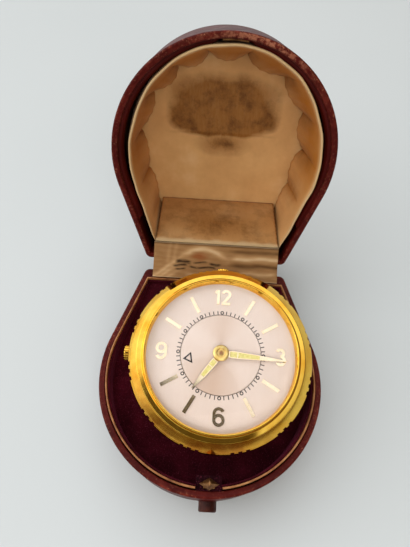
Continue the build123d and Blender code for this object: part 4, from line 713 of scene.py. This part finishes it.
def base_cover():
    """Leather over the base: out from under its middle, up the wall, over the rim and down inside it.

    The wall swells round the button by s exp(-(d / w)^2), where d is the distance from the button.
    """
    x, y = plan(0.0, SHARES)
    outside = []
    for inset, height in outer_walls(BASE_EDGE, BASE_HEIGHT, 0.04):
        away = np.hypot(x - BUTTON_PLACE[0], height - BUTTON_PLACE[1])
        outside.append((inset - BUTTON_SWELL * ridge(away, BUTTON_SPREAD) * (y < 0), height))
    rows = [(CENTRE, CENTRE, 0.0)] + [loop(inset, 0.0) for inset in (22.0, 8.0, 3.0)]
    foot = len(rows)
    top = foot + len(outside)
    rows += [loop(inset, height) for inset, height in outside]
    start = np.array(plan(RIM_ROUND, SHARES))
    end = np.array(plan(WALL - INNER_ROUND, SHARES, SILL_Y + INNER_ROUND))
    for share in RIM_SHARES:
        rows.append((*(start + (end - start) * share), BASE_HEIGHT - 0.05 * math.sin(math.pi * share)))
    for out, down in quarter(INNER_ROUND, 5):
        rows.append(loop(WALL - out, BASE_HEIGHT - down, SILL_Y + out))
    rows.append(loop(WALL, BASE_HEIGHT - TURN_IN, SILL_Y))
    rows += [loop(LEATHER, height) for height in (BASE_HEIGHT - TURN_IN, LEATHER)]
    rows.append((CENTRE, CENTRE, LEATHER))
    wear = np.zeros((len(rows), ROUND))
    wear[foot:top] = edge_wear(outside, BASE_HEIGHT, BASE_EDGE)
    wear[top:-4] = 0.4
    wear *= 0.35 + 0.65 * unit(0.5 + ripple(2.1, 23 * SHARES, 61 * SHARES))
    grid = rows_of(base_place, rows)
    cover = make_piece("base_cover", grid, "oxblood_leather", "case", marks={"wear": wear})
    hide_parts("base_leather")


def lid_cover():
    """Leather over the lid: from the middle of its back, round the edge, down the wall and over the rim.

    The rim is lifted unevenly where it is torn, by exp(-(d / w)^2) along it. A ledge inside the rim, left
    out at the catch and the hinge, meets the lining.
    """
    outside = outer_walls(LID_EDGE, LID_BACK - RIM_GAP, 0.05)
    rows = [(CENTRE, CENTRE, LID_BACK)] + [loop(inset, LID_BACK) for inset in (26.0, 14.0, 6.0)]
    foot = len(rows)
    top = foot + len(outside)
    rows += [loop(inset, LID_BACK - height) for inset, height in outside]
    tear = ridge((SHARES - TEAR_SHARE + 0.5) % 1.0 - 0.5, TEAR_SPREAD)
    ragged = tear * (0.5 + 0.5 * ripple(0.7, 260 * SHARES, 610 * SHARES, 1400 * SHARES))
    for share in RIM_SHARES:
        inset = RIM_ROUND + (WALL - INNER_ROUND - RIM_ROUND) * share
        rows.append(loop(inset, RIM_GAP + 0.35 * ragged * math.sin(math.pi * share)))
    for out, down in quarter(INNER_ROUND, 5):
        rows.append(loop(WALL - out, RIM_GAP + down + 0.25 * ragged))
    inner = WALL + 0.03
    x, y = plan(inner, SHARES)
    at_catch = np.exp(-(((x - BUTTON_PLACE[0]) / CATCH_SPREAD) ** 6)) * (y < 0)
    ledge = LEDGE_WIDTH * (1 - at_catch) * (y < LEDGE_END)
    for reach, depth in LEDGE_PROFILE:
        rows.append(loop(inner + ledge * reach, depth))
    rows += [loop(LEATHER, depth) for depth in (LID_TURN_IN, LID_BACK - LEATHER)]
    rows.append((CENTRE, CENTRE, LID_BACK - LEATHER))
    wear = np.zeros((len(rows), ROUND))
    wear[foot:top] = edge_wear(outside, LID_BACK - RIM_GAP, LID_EDGE)
    wear[top:top + 9] = 0.6
    wear *= 0.5 + 0.5 * unit(0.5 + ripple(0.4, 19 * SHARES, 53 * SHARES))
    torn = np.zeros_like(wear)
    torn[top - 3:top + 5] = tear
    # Painted shade: the turn-in darkens from 5 mm deep inwards, and the crack along the torn rim is darkened
    shade = np.zeros_like(wear)
    shade[top + 12] = 0.5
    shade[top + 13:] = 0.7
    shade[top + 3:top + 8] = 0.8 * ragged
    marks = {"wear": wear, "torn": torn, "shade": shade}
    grid = rows_of(lid_place, rows)
    cover = make_piece("lid_cover", grid, "oxblood_leather", "lid", marks=marks)
    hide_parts("lid_leather")


# Lip and velvet of the tray

TRAY_STEPS = 440


def tray_shares(inset, gap):
    """Shares round the tray from one side of the catch's gap to the other: asin(x / r) over the whole arc."""
    low, high = np.arcsin(np.array(gap) / (CASE_RADIUS - inset)) / (SIDE_ANGLE + math.pi / 2) * ARC_END / 2
    return np.linspace(high, 1 + low, TRAY_STEPS)


def floor_height(x, y):
    """Height of the seat's velvet above a place: the plane across the clock's axis at the seat's depth."""
    return CLOCK_ORIGIN[2] + (SEAT_DEPTH - CLOCK_AXIS[1] * (y - CLOCK_ORIGIN[1])) / CLOCK_AXIS[2]


def half_round(start, radius, top, steps):
    """Half-round top as (inset, height): r(1 - cos a) from its start, r(1 - sin a) below its top."""
    turn = np.linspace(0, math.pi, steps)
    return list(zip(start + radius * (1 - np.cos(turn)), top - radius * (1 - np.sin(turn))))


def lip_edge():
    """Tan lip: a section with a half-round top carried round the tray, swaying a little in height."""
    shares = tray_shares(LIP_OUTER, LIP_GAP)
    shoulder = LIP_TOP - (LIP_INNER - LIP_OUTER)
    section = [(LIP_OUTER, LIP_LOW), (LIP_OUTER, shoulder)]
    section += half_round(LIP_OUTER, (LIP_INNER - LIP_OUTER) / 2, LIP_TOP, 9)
    section += [(LIP_INNER, shoulder), (LIP_INNER, LIP_LOW)]
    sway = 0.05 * ripple(0.9, 130 * shares, 47 * shares)
    grid = []
    for inset, height in section:
        x, y = plan(inset, shares, SILL_Y - (inset - WALL))
        grid.append(base_place(x, y, height + sway * (height > LIP_LOW + 1)))
    lip = make_piece("lip_edge", capped(np.stack(grid)), "tan_lip", "case", STRIP)
    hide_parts("base_lip")


def velvet_lining():
    """Velvet on the tray's wall: from the seat up to a soft rounded top below the lip's edge.

    Heights run evenly from the tilted seat, and the pile is pressed unevenly by sin(pi t) up the wall.
    """
    shares = tray_shares(TRAY_INSET, PILE_GAP)

    def upright(inset, rear, level):
        """Row of the wall at a level from 0 at its foot to 1 under its rounded top."""
        x, y = plan(inset, shares, rear)
        foot = floor_height(x, y) - PILE_FOOT
        return base_place(x, y, foot + (PILE_TOP - PILE / 2 - foot) * level)

    levels = np.linspace(0, 1, 7)
    grid = [upright(TRAY_INSET, TRAY_REAR, level) for level in levels]
    for inset, height in half_round(TRAY_INSET, PILE / 2, PILE_TOP, 8)[1:-1]:
        grid.append(base_place(*plan(inset, shares, TRAY_REAR - (inset - TRAY_INSET)), height))
    for level in levels[::-1]:
        press = 0.12 * ripple(1.9, 90 * shares, 5 * level + 37 * shares) * math.sin(math.pi * level)
        grid.append(upright(TRAY_INSET + PILE + press, TRAY_REAR - PILE, level))
    grid = capped(np.stack(grid))
    lining = make_piece("velvet_lining", grid, "velvet", "case", STRIP)
    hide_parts("velvet_wall")


def velvet_floor():
    """Velvet seat: a soft crescent from the tray's wall in to the round well, and down inside the well.

    Radius R + (w - R) t from the wall's R to the well's w, swelling by sin(pi t).
    """
    x, y = plan(TRAY_INSET + 0.05, SHARES, TRAY_REAR - 0.05)
    outer = base_place(x, y, floor_height(x, y)) - CLOCK_ORIGIN
    u = outer @ CLOCK_ACROSS
    v = outer @ CLOCK_UP
    turn = np.arctan2(v, u)
    reach = np.hypot(u, v)
    top = SEAT_DEPTH - 0.05
    rows = []
    for share in np.linspace(0, 1, 12):
        radius = reach + (WELL_RADIUS + WELL_ROUND - reach) * share
        swell = 0.18 * math.sin(math.pi * share) * (1 + ripple(0.3, 9 * turn, 17 * turn + 8 * share))
        rows.append((radius, top + swell * (reach > WELL_RADIUS + 1.5)))
    rows += [(WELL_RADIUS + out, top - down) for out, down in quarter(WELL_ROUND, 5)[1:]]
    rows += [(WELL_RADIUS, -PILE), (WELL_RADIUS + PILE, -PILE)]
    rows += [(radius, SEAT_DEPTH - PILE) for radius in (np.minimum(WELL_RADIUS + PILE, reach), reach)]
    grid = np.stack([clock_place(far * np.cos(turn), far * np.sin(turn), height) for far, height in rows])
    floor = make_piece("velvet_floor", grid, "velvet", "case", RING, crease=60)
    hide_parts("velvet_seat")


# Satin linings of the lid


def stain_at(x, y):
    """Brown patch on the back panel: a squarish oval, crisp below, with a tide line and a spot under it.

    Distance (|x|^3 + |y|^3)^(1/3), with a wandering edge.
    """
    across = (x - STAIN_PLACE[0]) / STAIN_REACH[0]
    down = (y - STAIN_PLACE[1]) / STAIN_REACH[1]
    wander = 0.07 * ripple(0.8, 0.5 * x, 0.6 * y, 0.9 * x - 0.7 * y)
    away = (np.abs(across) ** 3 + np.abs(down) ** 3) ** (1 / 3) + wander
    main = 0.9 * unit((1.08 - away) / (0.27 - 0.11 * np.tanh(3 * down)))
    tide = 0.3 * ridge(y + 1.6 + 3 * wander, 0.4) * unit(1.2 - across**2)
    spot = 0.8 * unit(1.25 - np.hypot(x / 10, (y - 1.6) / 4.5) - wander)
    return unit(np.maximum(main, spot) + tide)


def lid_back_panel():
    """Padded satin back of the lid: the outline shrunk in rings t, with a flat back.

    Its face is crowned by 1 - t^2 and rounded at the edge by sqrt(1 - u^2), with soft hollows.
    """
    rings = np.concatenate([np.linspace(0, 0.97, 46), [0.985, 0.995, 1.0]])[:, None]
    x, y = plan(PAD_INSET, SHARES)
    x = rings * x
    y = rings * y
    round_edge = np.sqrt(unit(1 - unit((rings - 0.95) / 0.05) ** 2))
    soft = 0.072 * ripple(1.1, 0.21 * x, 0.27 * y, 0.5 * x + 0.4 * y)
    crown = 0.125 * (1 - rings**2)
    front = PAD_BACK - (PAD_BACK - PAD_FRONT - 0.15) * round_edge - crown + soft * round_edge
    grid = np.concatenate([lid_place(x, y, front), lid_place(x[::-1], y[::-1], PAD_BACK)])
    stain = np.concatenate([stain_at(x, y), np.zeros_like(x)])
    panel = make_piece("lid_back_panel", grid, "satin", "lid", marks={"stain": stain})
    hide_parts("lid_back_pad")


def spread(way, front, side, rear):
    """Value at a way along each half of the lining, 0 at the front middle and 1 at the hinge end.

    It goes from front to side and from side to rear by half a cosine each.
    """
    way = np.abs(way)
    ahead = 0.5 - 0.5 * np.cos(math.pi * unit(way / 0.55))
    behind = 0.5 - 0.5 * np.cos(math.pi * unit((way - 0.55) / 0.45))
    return front + (side - front) * ahead + (rear - side) * behind


def lid_side_lining():
    """Ruched satin round the inside of the lid.

    A strip stands from a thin rolled edge at the rim in to the back panel. Its gathers swell inwards as
    the 0.55th power of |sin|, more towards the back, and fade out at the two hinge ends.
    """
    way = np.linspace(-1, 1, 641)
    shares = way * SIDE_END / 2
    wander = 0.3 * ripple(0.9, 14 * way, 31 * way, 57 * way)
    rim = spread(way, *LINING_RIM) - 0.45 * np.sin(0.8 * math.pi * way) + wander
    back = spread(way, *LINING_FOOT)
    bulge = spread(way, *LINING_SWELL)
    roll = 0.05 * (1 + 0.6 * ripple(1.7, 23 * way, 51 * way))
    fade = unit((1 - np.abs(way)) / 0.26) ** 0.8
    gather = PUFFS * (way + 1) / 2 + 0.41 + 0.2 * ripple(0.6, 5.2 * way, 9.7 * way)
    swell = np.abs(np.sin(math.pi * gather)) ** 0.55
    size = 1 + 0.25 * ripple(2.4, 7.0 * way, 13 * way)
    pinch = 1 - np.abs(way) ** 24
    gilding = unit((1 - np.abs(way)) / 0.4) ** 1.5
    start = LINING_FRONT + 0.3 + 0.25 * ripple(0.3, 9 * way, 26 * way)
    run = LINING_BACK - start
    fall = np.linspace(0, 1, 34)
    insets = []
    grid = []
    marks = {"edge": [], "crease": [], "stain": []}

    def lay(inset, depth, *values):
        """Adds a row of the strip with its light edge, its golden tone with painted shade, and its painted
        valley shade.
        """
        insets.append(inset)
        grid.append(lid_place(*plan(inset, shares, LINING_END), depth))
        for rows, value in zip(marks.values(), values):
            rows.append(value + 0 * way)

    for share in fall:
        puff = bulge * swell * size * fade * share**1.2
        fine = 0.14 * np.sin(math.pi * 8 * gather + 2.6 * share) * fade * share
        sag = 0.3 * ripple(1.5, 11 * way, 6 * share + 5 * way) * math.sin(math.pi * share)
        inset = rim + (back - rim) * share**0.85 + puff + fine + sag
        # Golden tone along the strip, and painted shade: brown in the gathers' valleys and along the tuck
        # under the back panel
        body = unit(share * 9) * (1 - 0.55 * unit((share - 0.45) / 0.5))
        tuck = unit((share - 0.9) / 0.1) * 0.8
        valley = (1 - swell) ** 0.7 * fade * unit(share * 2.5)
        gold_and_shade = unit(np.maximum(body * gilding, np.maximum(tuck, valley)))
        shade_and_stain = 0.6 * valley * unit((share - 0.15) * 3)
        lay(inset, start + run * share, 0.65 * unit(1 - share / roll), gold_and_shade, shade_and_stain)
    for share in fall[::-1][:-1:3]:
        inset = LINING_OUTER + (rim - LINING_THICK - LINING_OUTER) * (1 - share) ** 1.6
        own = insets[int(round(share * (len(fall) - 1)))]
        lay(own + (inset - own) * pinch, start + run * share, 0, 0.6, 0)
    for a in np.linspace(0, math.pi, 9):
        inset = rim - LINING_THICK * pinch * (0.5 + 0.5 * math.cos(a))
        depth = start - LINING_THICK * 0.45 * math.sin(a) * pinch
        lay(inset, depth, 0.65 + 0.1 * ripple(0.5, 17 * way, 37 * way), 0, 0)
    lining = lid_satin("lid_side_lining", grid, marks)
    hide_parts("lid_side_puff")
    squash_into_lid(lining)


def lid_satin(name, grid, marks):
    """Satin piece of the lid from its rows of places and of marks."""
    marks = {mark: np.stack(rows) for mark, rows in marks.items()}
    return make_piece(name, np.stack(grid), "satin", "lid", STRIP, marks, 80)


def squash_into_lid(piece):
    """Gives a lining a copy of its mesh as its own."""
    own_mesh(piece)


def hinge_side_panel():
    """Padded satin panel on the hinge side: a thin pillow with a rolled light edge at the rim.

    Its face rises from the chord between its two edges by sqrt(sin(pi t)), and dies out at the sides.
    """
    across = np.linspace(-1, 1, 181)
    start = np.array(PANEL_RIM)
    run = np.array(PANEL_BACK) - start
    length = np.linalg.norm(run)
    inward = np.array([-run[1], run[0]]) / length
    pillow = np.sqrt(unit(1 - np.abs(across) ** 10))
    roll = 0.045 * (1 + 0.4 * ripple(0.8, 13 * across, 29 * across))
    seam = unit(1 - (1 - np.abs(across)) / 0.05)
    levels = np.linspace(0, 1, 36)
    grid = []
    marks = {"edge": [], "stain": [], "crease": []}

    def lay(level, rise, *values):
        """Adds a row at a level along the chord, raised off it, with its light edge, its stain and its
        painted shadow.
        """
        y, depth = (start + run * level)[:, None] + inward[:, None] * rise
        grid.append(lid_place(PANEL_HALF_WIDTH * across, y, depth))
        for rows, value in zip(marks.values(), (*values, 0.15)):
            rows.append(value + 0 * across)

    for level in levels:
        bend = math.sin(math.pi * level)
        wave = 0.16 * ripple(0.2, 5 * across, 7 * level + 3 * across, 13 * across - 6 * level)
        away = np.hypot(across * 1.5, (level - 0.42) / 0.36) + 0.18 * ripple(0.5, 9 * across, 11 * level)
        join = max(0.0, (level - 0.95) / 0.05)
        # Greyish brown tone, a broader stain over the middle, dark seams at the sides, and painted shadow
        # along the back edge under the back panel
        shade_and_stain = np.maximum(0.44 + 0.4 * unit(1.1 - away), np.maximum(seam, join))
        lay(level, (0.75 * bend**0.5 + wave * bend) * pillow, unit(1.3 - level / roll), shade_and_stain)
    for level in levels[::-1][::3]:
        lay(level, -0.8 * pillow * math.sin(math.pi * np.clip(level, 0.02, 0.98)) ** 0.25, 0, 0)
    for a in np.linspace(0, math.pi, 7)[1:-1]:
        lay(-0.35 * math.sin(a) / length, -0.55 * math.cos(a) * pillow, 1, 0)
    panel = lid_satin("hinge_side_panel", grid, marks)
    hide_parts("lid_hinge_panel")
    squash_into_lid(panel)


def hinge_ribbon_cloth():
    """Silk ribbon over the hinge: a sagging arc from the lip to the lid, creased across and slit.

    Between its ends it follows (1-b)^2 P + 2b(1-b) Q + b^2 R, lifted by crossing creases.
    """
    across = np.linspace(-1, 1, 301)
    level = np.linspace(0, 1, 81)[:, None]
    lip_end = np.array(RIBBON_LIP)
    lid_end = lid_place(0.0, *RIBBON_LID)[1:]
    middle = (lip_end + lid_end) / 2 - np.array([0.0, 2 * RIBBON_SAG])
    chord = (lid_end - lip_end) / np.linalg.norm(lid_end - lip_end)
    upward = np.array([-chord[1], chord[0]])

    def between(place, start, end, soft=0.1):
        """1 between two places, falling to 0 outside them."""
        return unit((place - start) / soft) * unit((end - place) / soft)

    drift = 0.02 * ripple(0.6, 9 * across, 17 * across)
    right = between(across, 0.18, 1.3, 0.16)
    creases = [
        (0.75, level - 0.86 + 1.6 * (across + 0.2) ** 2 + drift, 0.085, between(across, -0.62, 0.24, 0.2)),
        (0.75, level - 0.64 - drift - 0.04 * across, 0.07, right),
        (0.6, level - 0.24 + drift, 0.06, between(across, 0.35, 1.0)),
        (-0.55, level - 0.47 - drift, 0.06, right),
        (-0.45, level - 0.85, 0.05, right),
        (0.5, level - 0.12 - drift, 0.05, between(across, -0.5, 0.3)),
        # Dip along the lid end, painted as a dark line of shadow under the panel's edge
        (-0.7, level - 0.98, 0.03, 1.0),
    ]
    for offset in (0.0, 0.11, 0.25):
        slant = level - 1.4 * (across + 1 - offset) - drift
        creases.append((0.55, slant, 0.08, between(across, -1.3, -0.5, 0.25)))
    for at in (-0.8, -0.7):
        creases.append((0.2, across - at - 0.06 * level, 0.035, between(level, 0.3, 1.3, 0.3)))
    fold = sum(size * ridge(line, wide) * where for size, line, wide, where in creases)
    fine = ripple(1.2, 46 * level + 6 * across, 21 * across + 12 * level, 33 * across - 30 * level)
    lift = (0.5 * fold + 0.03 * fine) * np.sin(math.pi * level) ** 0.5
    thick = RIBBON_THICK / 2 * np.sqrt(unit(1 - np.abs(across) ** 40))
    bow = (1 - level) ** 2 * lip_end + 2 * level * (1 - level) * middle + level**2 * lid_end

    def face(rise):
        """Places of the ribbon raised off its arc."""
        y, z = (bow[:, i, None] + upward[i] * rise for i in (0, 1))
        return base_place(RIBBON_HALF_WIDTH * across, y, z)

    top = face(lift + thick)
    slit = np.zeros_like(lift)
    # Slit marks: painted shade of the gap seen through each slit
    for first, last, at, wide in RIBBON_SLITS:
        line = level - at - 0.02 * np.sin(17 * across + 9 * at)
        slit = np.maximum(slit, unit(1.4 - np.abs(line) / wide) * between(across, first, last, 0.05))
    away = np.hypot((across + 0.26) / 0.15, (level - 0.67) / 0.12) + 0.2 * fine
    # fold: painted light and shade that follow the creases' height
    marks = {
        "fold": unit(0.46 + 0.5 * fold + 0.04 * fine),
        "bare": unit(1.25 - away),
        "slit": slit,
        "edge": 0.6 * unit(1 - np.minimum(level, 1 - level) / 0.03) + 0 * across,
    }
    marks = {name: np.concatenate([values, values[::-1]]) for name, values in marks.items()}
    grid = np.concatenate([top, face(lift - thick)[::-1]])
    ribbon = make_piece("hinge_ribbon_cloth", grid, "ribbon", None, STRIP, marks, 80)
    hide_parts("hinge_ribbon")
    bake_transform(ribbon)


# Gilt rings, crystal, hands and dial print


def round_turn(steps):
    """Angles once round."""
    return np.arange(steps) / steps * 2 * math.pi


def turned(profile, steps=360):
    """Grid of a profile of (r, h) carried round the clock's axis: (r cos a, r sin a, h)."""
    angle = round_turn(steps)
    radius, height = np.asarray(profile).T[:, :, None]
    return clock_place(radius * np.cos(angle), radius * np.sin(angle), height)


def gilt_ring(name, grid, marks=None):
    """Closed gilt ring on the clock."""
    return make_piece(name, grid, "clock_gilt", "case", RING, marks, 30)


def grip_band():
    """Grip ring: an upright band with a rounded shoulder, groups of three notches cut in it and a cone above.

    Radius r - n(a)(r - floor) below the notches' top, where n rises steeply from 0 to 1 in each notch.
    """
    profile = [
        (BODY_RADIUS + 0.05, RING_LOW),
        (RING_RADIUS - 0.4, RING_LOW),
        (RING_RADIUS, RING_LOW + 0.4),
        (RING_RADIUS, RING_BAND_TOP),
        (RING_RADIUS - 0.25, RING_BAND_TOP + 0.65),
        (NOTCH_FLOOR + 0.16, NOTCH_TOP - 0.02),
        (NOTCH_FLOOR + 0.08, NOTCH_TOP + 0.06),
        (RING_TOP_RADIUS, RING_HIGH - 0.02),
        (BODY_RADIUS + 0.05, RING_HIGH),
    ]
    radius, height = soften(profile, 0.12).T[:, :, None]
    angle = round_turn(2160)
    pitch = 2 * math.pi / NOTCH_GROUPS
    first = math.radians(90 - NOTCH_TURN)
    notch = 0 * angle
    for number in range(NOTCHES):
        middle = first - math.radians((number - (NOTCHES - 1) / 2) * NOTCH_STEP)
        away = np.abs((angle - middle + pitch / 2) % pitch - pitch / 2) * RING_RADIUS
        notch = np.maximum(notch, unit((NOTCH_WIDTH / 2 + 0.08 - away) / 0.16))
    radius = radius - notch * np.clip(radius - NOTCH_FLOOR, 0, None) * (height < NOTCH_TOP)
    grid = clock_place(radius * np.cos(angle), radius * np.sin(angle), height)
    # Brown on the ring's lower side: partly gilt worn to brass, partly painted reflection of the dark velvet
    # and case in front
    browned = 0.8 * unit((np.cos(angle - math.radians(BROWNED_ANGLE)) - 0.45) / 0.4) + 0 * height
    ring = gilt_ring("grip_band", grid, {"browned": browned})
    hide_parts("grip_ring")


def bezel_ring():
    """Bezel: a turned ring with a groove above the grip ring, a rounded crest and a slope to the crystal."""
    ring = gilt_ring("bezel_ring", turned(soften(BEZEL_PROFILE, 0.15)))
    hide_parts("bezel")


def rehaut_slope():
    """Sloping gilt ring between the dial's edge and the crystal."""
    ring = gilt_ring("rehaut_slope", turned(soften(REHAUT_PROFILE, 0.06, 3)))
    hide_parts("rehaut_ring")


def dome(foot, low, high):
    """Cap of a ball from crown to foot, as radius and height: the ball's radius is (f^2 + h^2) / 2h."""
    ball = (foot**2 + (high - low) ** 2) / (2 * (high - low))
    angle = np.linspace(0, math.asin(foot / ball), 40)
    return np.column_stack([ball * np.sin(angle), high - ball * (1 - np.cos(angle))])


def crystal_dome():
    """Domed crystal: outer cap down to a flange, and an inner cap back up to the middle."""
    grid = turned(np.vstack([dome(*CRYSTAL_OUTER), CRYSTAL_FLANGE, dome(*CRYSTAL_INNER)[::-1]]))
    glass = make_piece("crystal_dome", grid, "crystal", "case", crease=30)
    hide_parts("crystal")


def strip(angle, start, end, half_start, half_end, low, high):
    """Flat bar along a direction on the dial, tapering between two half widths, closed at both ends."""
    along = np.array([start, (start + end) / 2, end])
    half = np.array([half_start, (half_start + half_end) / 2, half_end])
    across = np.array([-1.0, -1.0, 1.0, 1.0])[:, None] * half
    u = along * math.cos(angle) - across * math.sin(angle)
    v = along * math.sin(angle) + across * math.cos(angle)
    return capped(clock_place(u, v, np.array([low, high, high, low])[:, None]))


def small_ring(angle, at, inner, outer, low, high, steps=28):
    """Open printed circle centred on a radius of the dial: its centre plus r (cos t, sin t)."""
    turn = round_turn(steps)
    radius = np.array([inner, outer, outer, inner])[:, None]
    u = at * math.cos(angle) + radius * np.cos(turn)
    v = at * math.sin(angle) + radius * np.sin(turn)
    return clock_place(u, v, np.array([low, low, high, high])[:, None])


def minute_track():
    """Printed minute track round the alarm disc: a line, short ticks and an open circle at each hour."""
    ink = (DIAL_TOP - PRINT_RISE, DIAL_TOP + PRINT_RISE)
    line = small_ring(0.0, 0.0, *TRACK_LINE, *ink, 240)
    minutes = [math.radians(6 * minute) for minute in range(60) if minute % 5]
    ticks = [strip(angle, *TICK_REACH, TICK_HALF_WIDTH, TICK_HALF_WIDTH, *ink) for angle in minutes]
    circles = [small_ring(math.radians(30 * hour), CIRCLE_PLACE, *CIRCLE_RADII, *ink) for hour in range(12)]
    prints = (("track_line", line, RING), ("minute_ticks", ticks, STRIP), ("hour_circles", circles, RING))
    for name, grids, wrap in prints:
        make_piece(name, grids, "dial_ink", "case", wrap)


def hand_lume():
    """Luminous paint laid in the hands: a short strip by the hub and a longer one past a bar, in each."""
    for name, body, angle, top, strips in (
        ("hour_lume", "hour", HOUR_HAND_ANGLE, HOUR_HAND_TOP, HOUR_LUME),
        ("minute_lume", "minute", MINUTE_HAND_ANGLE, MINUTE_HAND_TOP, MINUTE_LUME),
    ):
        paint = [strip(math.radians(angle), *sizes, top - LUME_SINK, top + LUME_RISE) for sizes in strips]
        make_piece(name, paint, "hand_lume", body, STRIP)


def hand_hub():
    """Hub over the hands: a rounded gilt ring, a shallow hollow and a browned pivot at its centre."""
    profile = soften(HUB_PROFILE, 0.12)
    grid = turned(profile, 120)
    core = unit(1.3 - profile[:, 0] / 0.95)[:, None] + np.zeros(grid.shape[:2])
    marks = {"core": core}
    hub = make_piece("hand_hub", grid, "hand_hub", "minute", marks=marks, crease=30)
    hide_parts("hand_cap")


# Finishes of the pieces that keep their solid shape; the rest of the movement is brass

NODE_FINISHES = {
    "case_wood": "base_carcass lid_carcass seat_block",
    "block_velvet_painted_shade": "catch_block",
    "button_brown": "catch_button",
    "case_brass": "catch_hook lid_keeper hinge_leaf_base hinge_leaf_lid",
    "clock_gilt": "case_back clock_case crown_tubes winding_crown alarm_crown",
    "marker_gilt": "hour_batons hour_numerals hour_hand minute_hand",
    "pointer_ink": "alarm_pointer",
    "dial_silver": "dial",
    "disc_silver": "alarm_disc",
    "steel": (
        "hinge_pin catch_spring winding_stem alarm_stem movement_screws barrel_arbor ratchet_click "
        "mainspring escape_wheel pallet_fork hairspring alarm_hammer"
    ),
}


def dress_nodes():
    """Gives every solid its finish."""
    finishes = {name: finish for finish, names in NODE_FINISHES.items() for name in names.split()}
    for name, solid in frame["nodes"].items():
        solid.data.materials.clear()
        solid.data.materials.append(FINISHES[finishes.get(name, "movement_brass")])


# Floor, light and camera


def plain_floor():
    """Pale table top that keeps the object's shadow."""
    reach = 3.0
    corners = [(-reach, -reach, 0), (reach, -reach, 0), (reach, reach, 0), (-reach, reach, 0)]
    mesh = bpy.data.meshes.new("floor")
    mesh.from_pydata(corners, [], [(0, 1, 2, 3)])
    mesh.materials.append(FINISHES["floor_pale"])
    floor = bpy.data.objects.new("floor", mesh)
    bpy.context.scene.collection.objects.link(floor)


def stand(name, data, axes, place):
    """Lamp or camera at a place in metres, with its own three axes turned as given."""
    holder = bpy.data.objects.new(name, data)
    turn = Matrix(np.column_stack(axes).tolist()).to_4x4()
    turn.translation = place
    holder.matrix_world = turn
    bpy.context.scene.collection.objects.link(holder)
    return holder


def soft_lamp(name, place, aim, power, colour, mirrored):
    """Square soft lamp, in metres and watts, pointed at a place, seen in polished metal or not."""
    lamp = bpy.data.lights.new(name, "AREA")
    lamp.size = LAMP_SIZE
    lamp.energy = power
    lamp.color = colour
    forward = np.array(aim) - np.array(place)
    forward = forward / np.linalg.norm(forward)
    right = np.cross(forward, [0.0, 0.0, 1.0])
    right = right / np.linalg.norm(right)
    holder = stand(name, lamp, (right, np.cross(right, forward), -forward), place)
    holder.visible_glossy = mirrored


def studio_light():
    """Pale surroundings, brighter to the left and dark where the viewer stands, with two broad soft lamps."""
    world = bpy.data.worlds.new("surroundings")
    world.use_nodes = True
    made = Nodes(world.node_tree, "Generated")

    def measure(operation, vector, *stops):
        """Shade of a direction measured against a vector, through a ramp, warmer where it is dark."""
        far = made.add("VectorMath", {0: made.place, 1: vector}, operation=operation)["Value"]
        return made.ramp(far, *((place, (value, value**1.1, value**1.25, 1)) for place, value in stops))

    lit = measure("DOT_PRODUCT", TO_WINDOW, (0.0, 0.16), (0.25, 0.22), (0.46, 0.92), (0.9, 1.0))
    viewer = measure("DISTANCE", TO_VIEWER, (0.283, 0.08), (0.300, 1.0))
    ground = made.tree.nodes["Background"].inputs
    made.fill(ground["Color"], made.mix(1.0, lit, viewer, blend_type="MULTIPLY"))
    made.fill(ground["Strength"], SKY)
    bpy.context.scene.world = world
    soft_lamp("window", (-0.6, 0.1, 0.45), (0.0, 0.02, 0.03), WINDOW_POWER, (1.0, 0.99, 0.97), True)
    soft_lamp("front", (0.08, -0.5, 0.6), (0.0, 0.05, 0.05), FRONT_POWER, (1.0, 0.98, 0.95), False)


def set_camera():
    """Camera fitted to the photograph: it looks down at the case, aimed so that one place meets its pixel."""
    yaw, pitch, roll = np.radians([CAMERA_YAW, CAMERA_PITCH, CAMERA_ROLL])
    forward = np.array([math.sin(yaw) * math.cos(pitch), math.cos(yaw) * math.cos(pitch), -math.sin(pitch)])
    right = np.array([math.cos(yaw), -math.sin(yaw), 0.0])
    down = np.cross(forward, right)
    across = math.cos(roll) * right + math.sin(roll) * down
    below = math.cos(roll) * down - math.sin(roll) * right
    shift = (np.array(AIM_PIXEL) - np.array([FRAME_WIDTH, FRAME_HEIGHT]) / 2) / FOCAL
    place = np.array(AIM) - CAMERA_DISTANCE * (shift[0] * across + shift[1] * below + forward)
    lens = bpy.data.cameras.new("camera")
    lens.sensor_fit = "VERTICAL"
    lens.sensor_height = SENSOR
    lens.lens = SENSOR * FOCAL / FRAME_HEIGHT
    lens.clip_start = 0.01
    lens.dof.use_dof = False
    bpy.context.scene.camera = stand("camera", lens, (across, -below, -forward), (place * MM).tolist())


bpy.context.scene.view_settings.view_transform = "Standard"
dress_nodes()
base_cover()
lid_cover()
lip_edge()
velvet_lining()
velvet_floor()
lid_back_panel()
lid_side_lining()
hinge_side_panel()
hinge_ribbon_cloth()
grip_band()
bezel_ring()
rehaut_slope()
crystal_dome()
minute_track()
hand_lume()
hand_hub()
plain_floor()
studio_light()
set_camera()
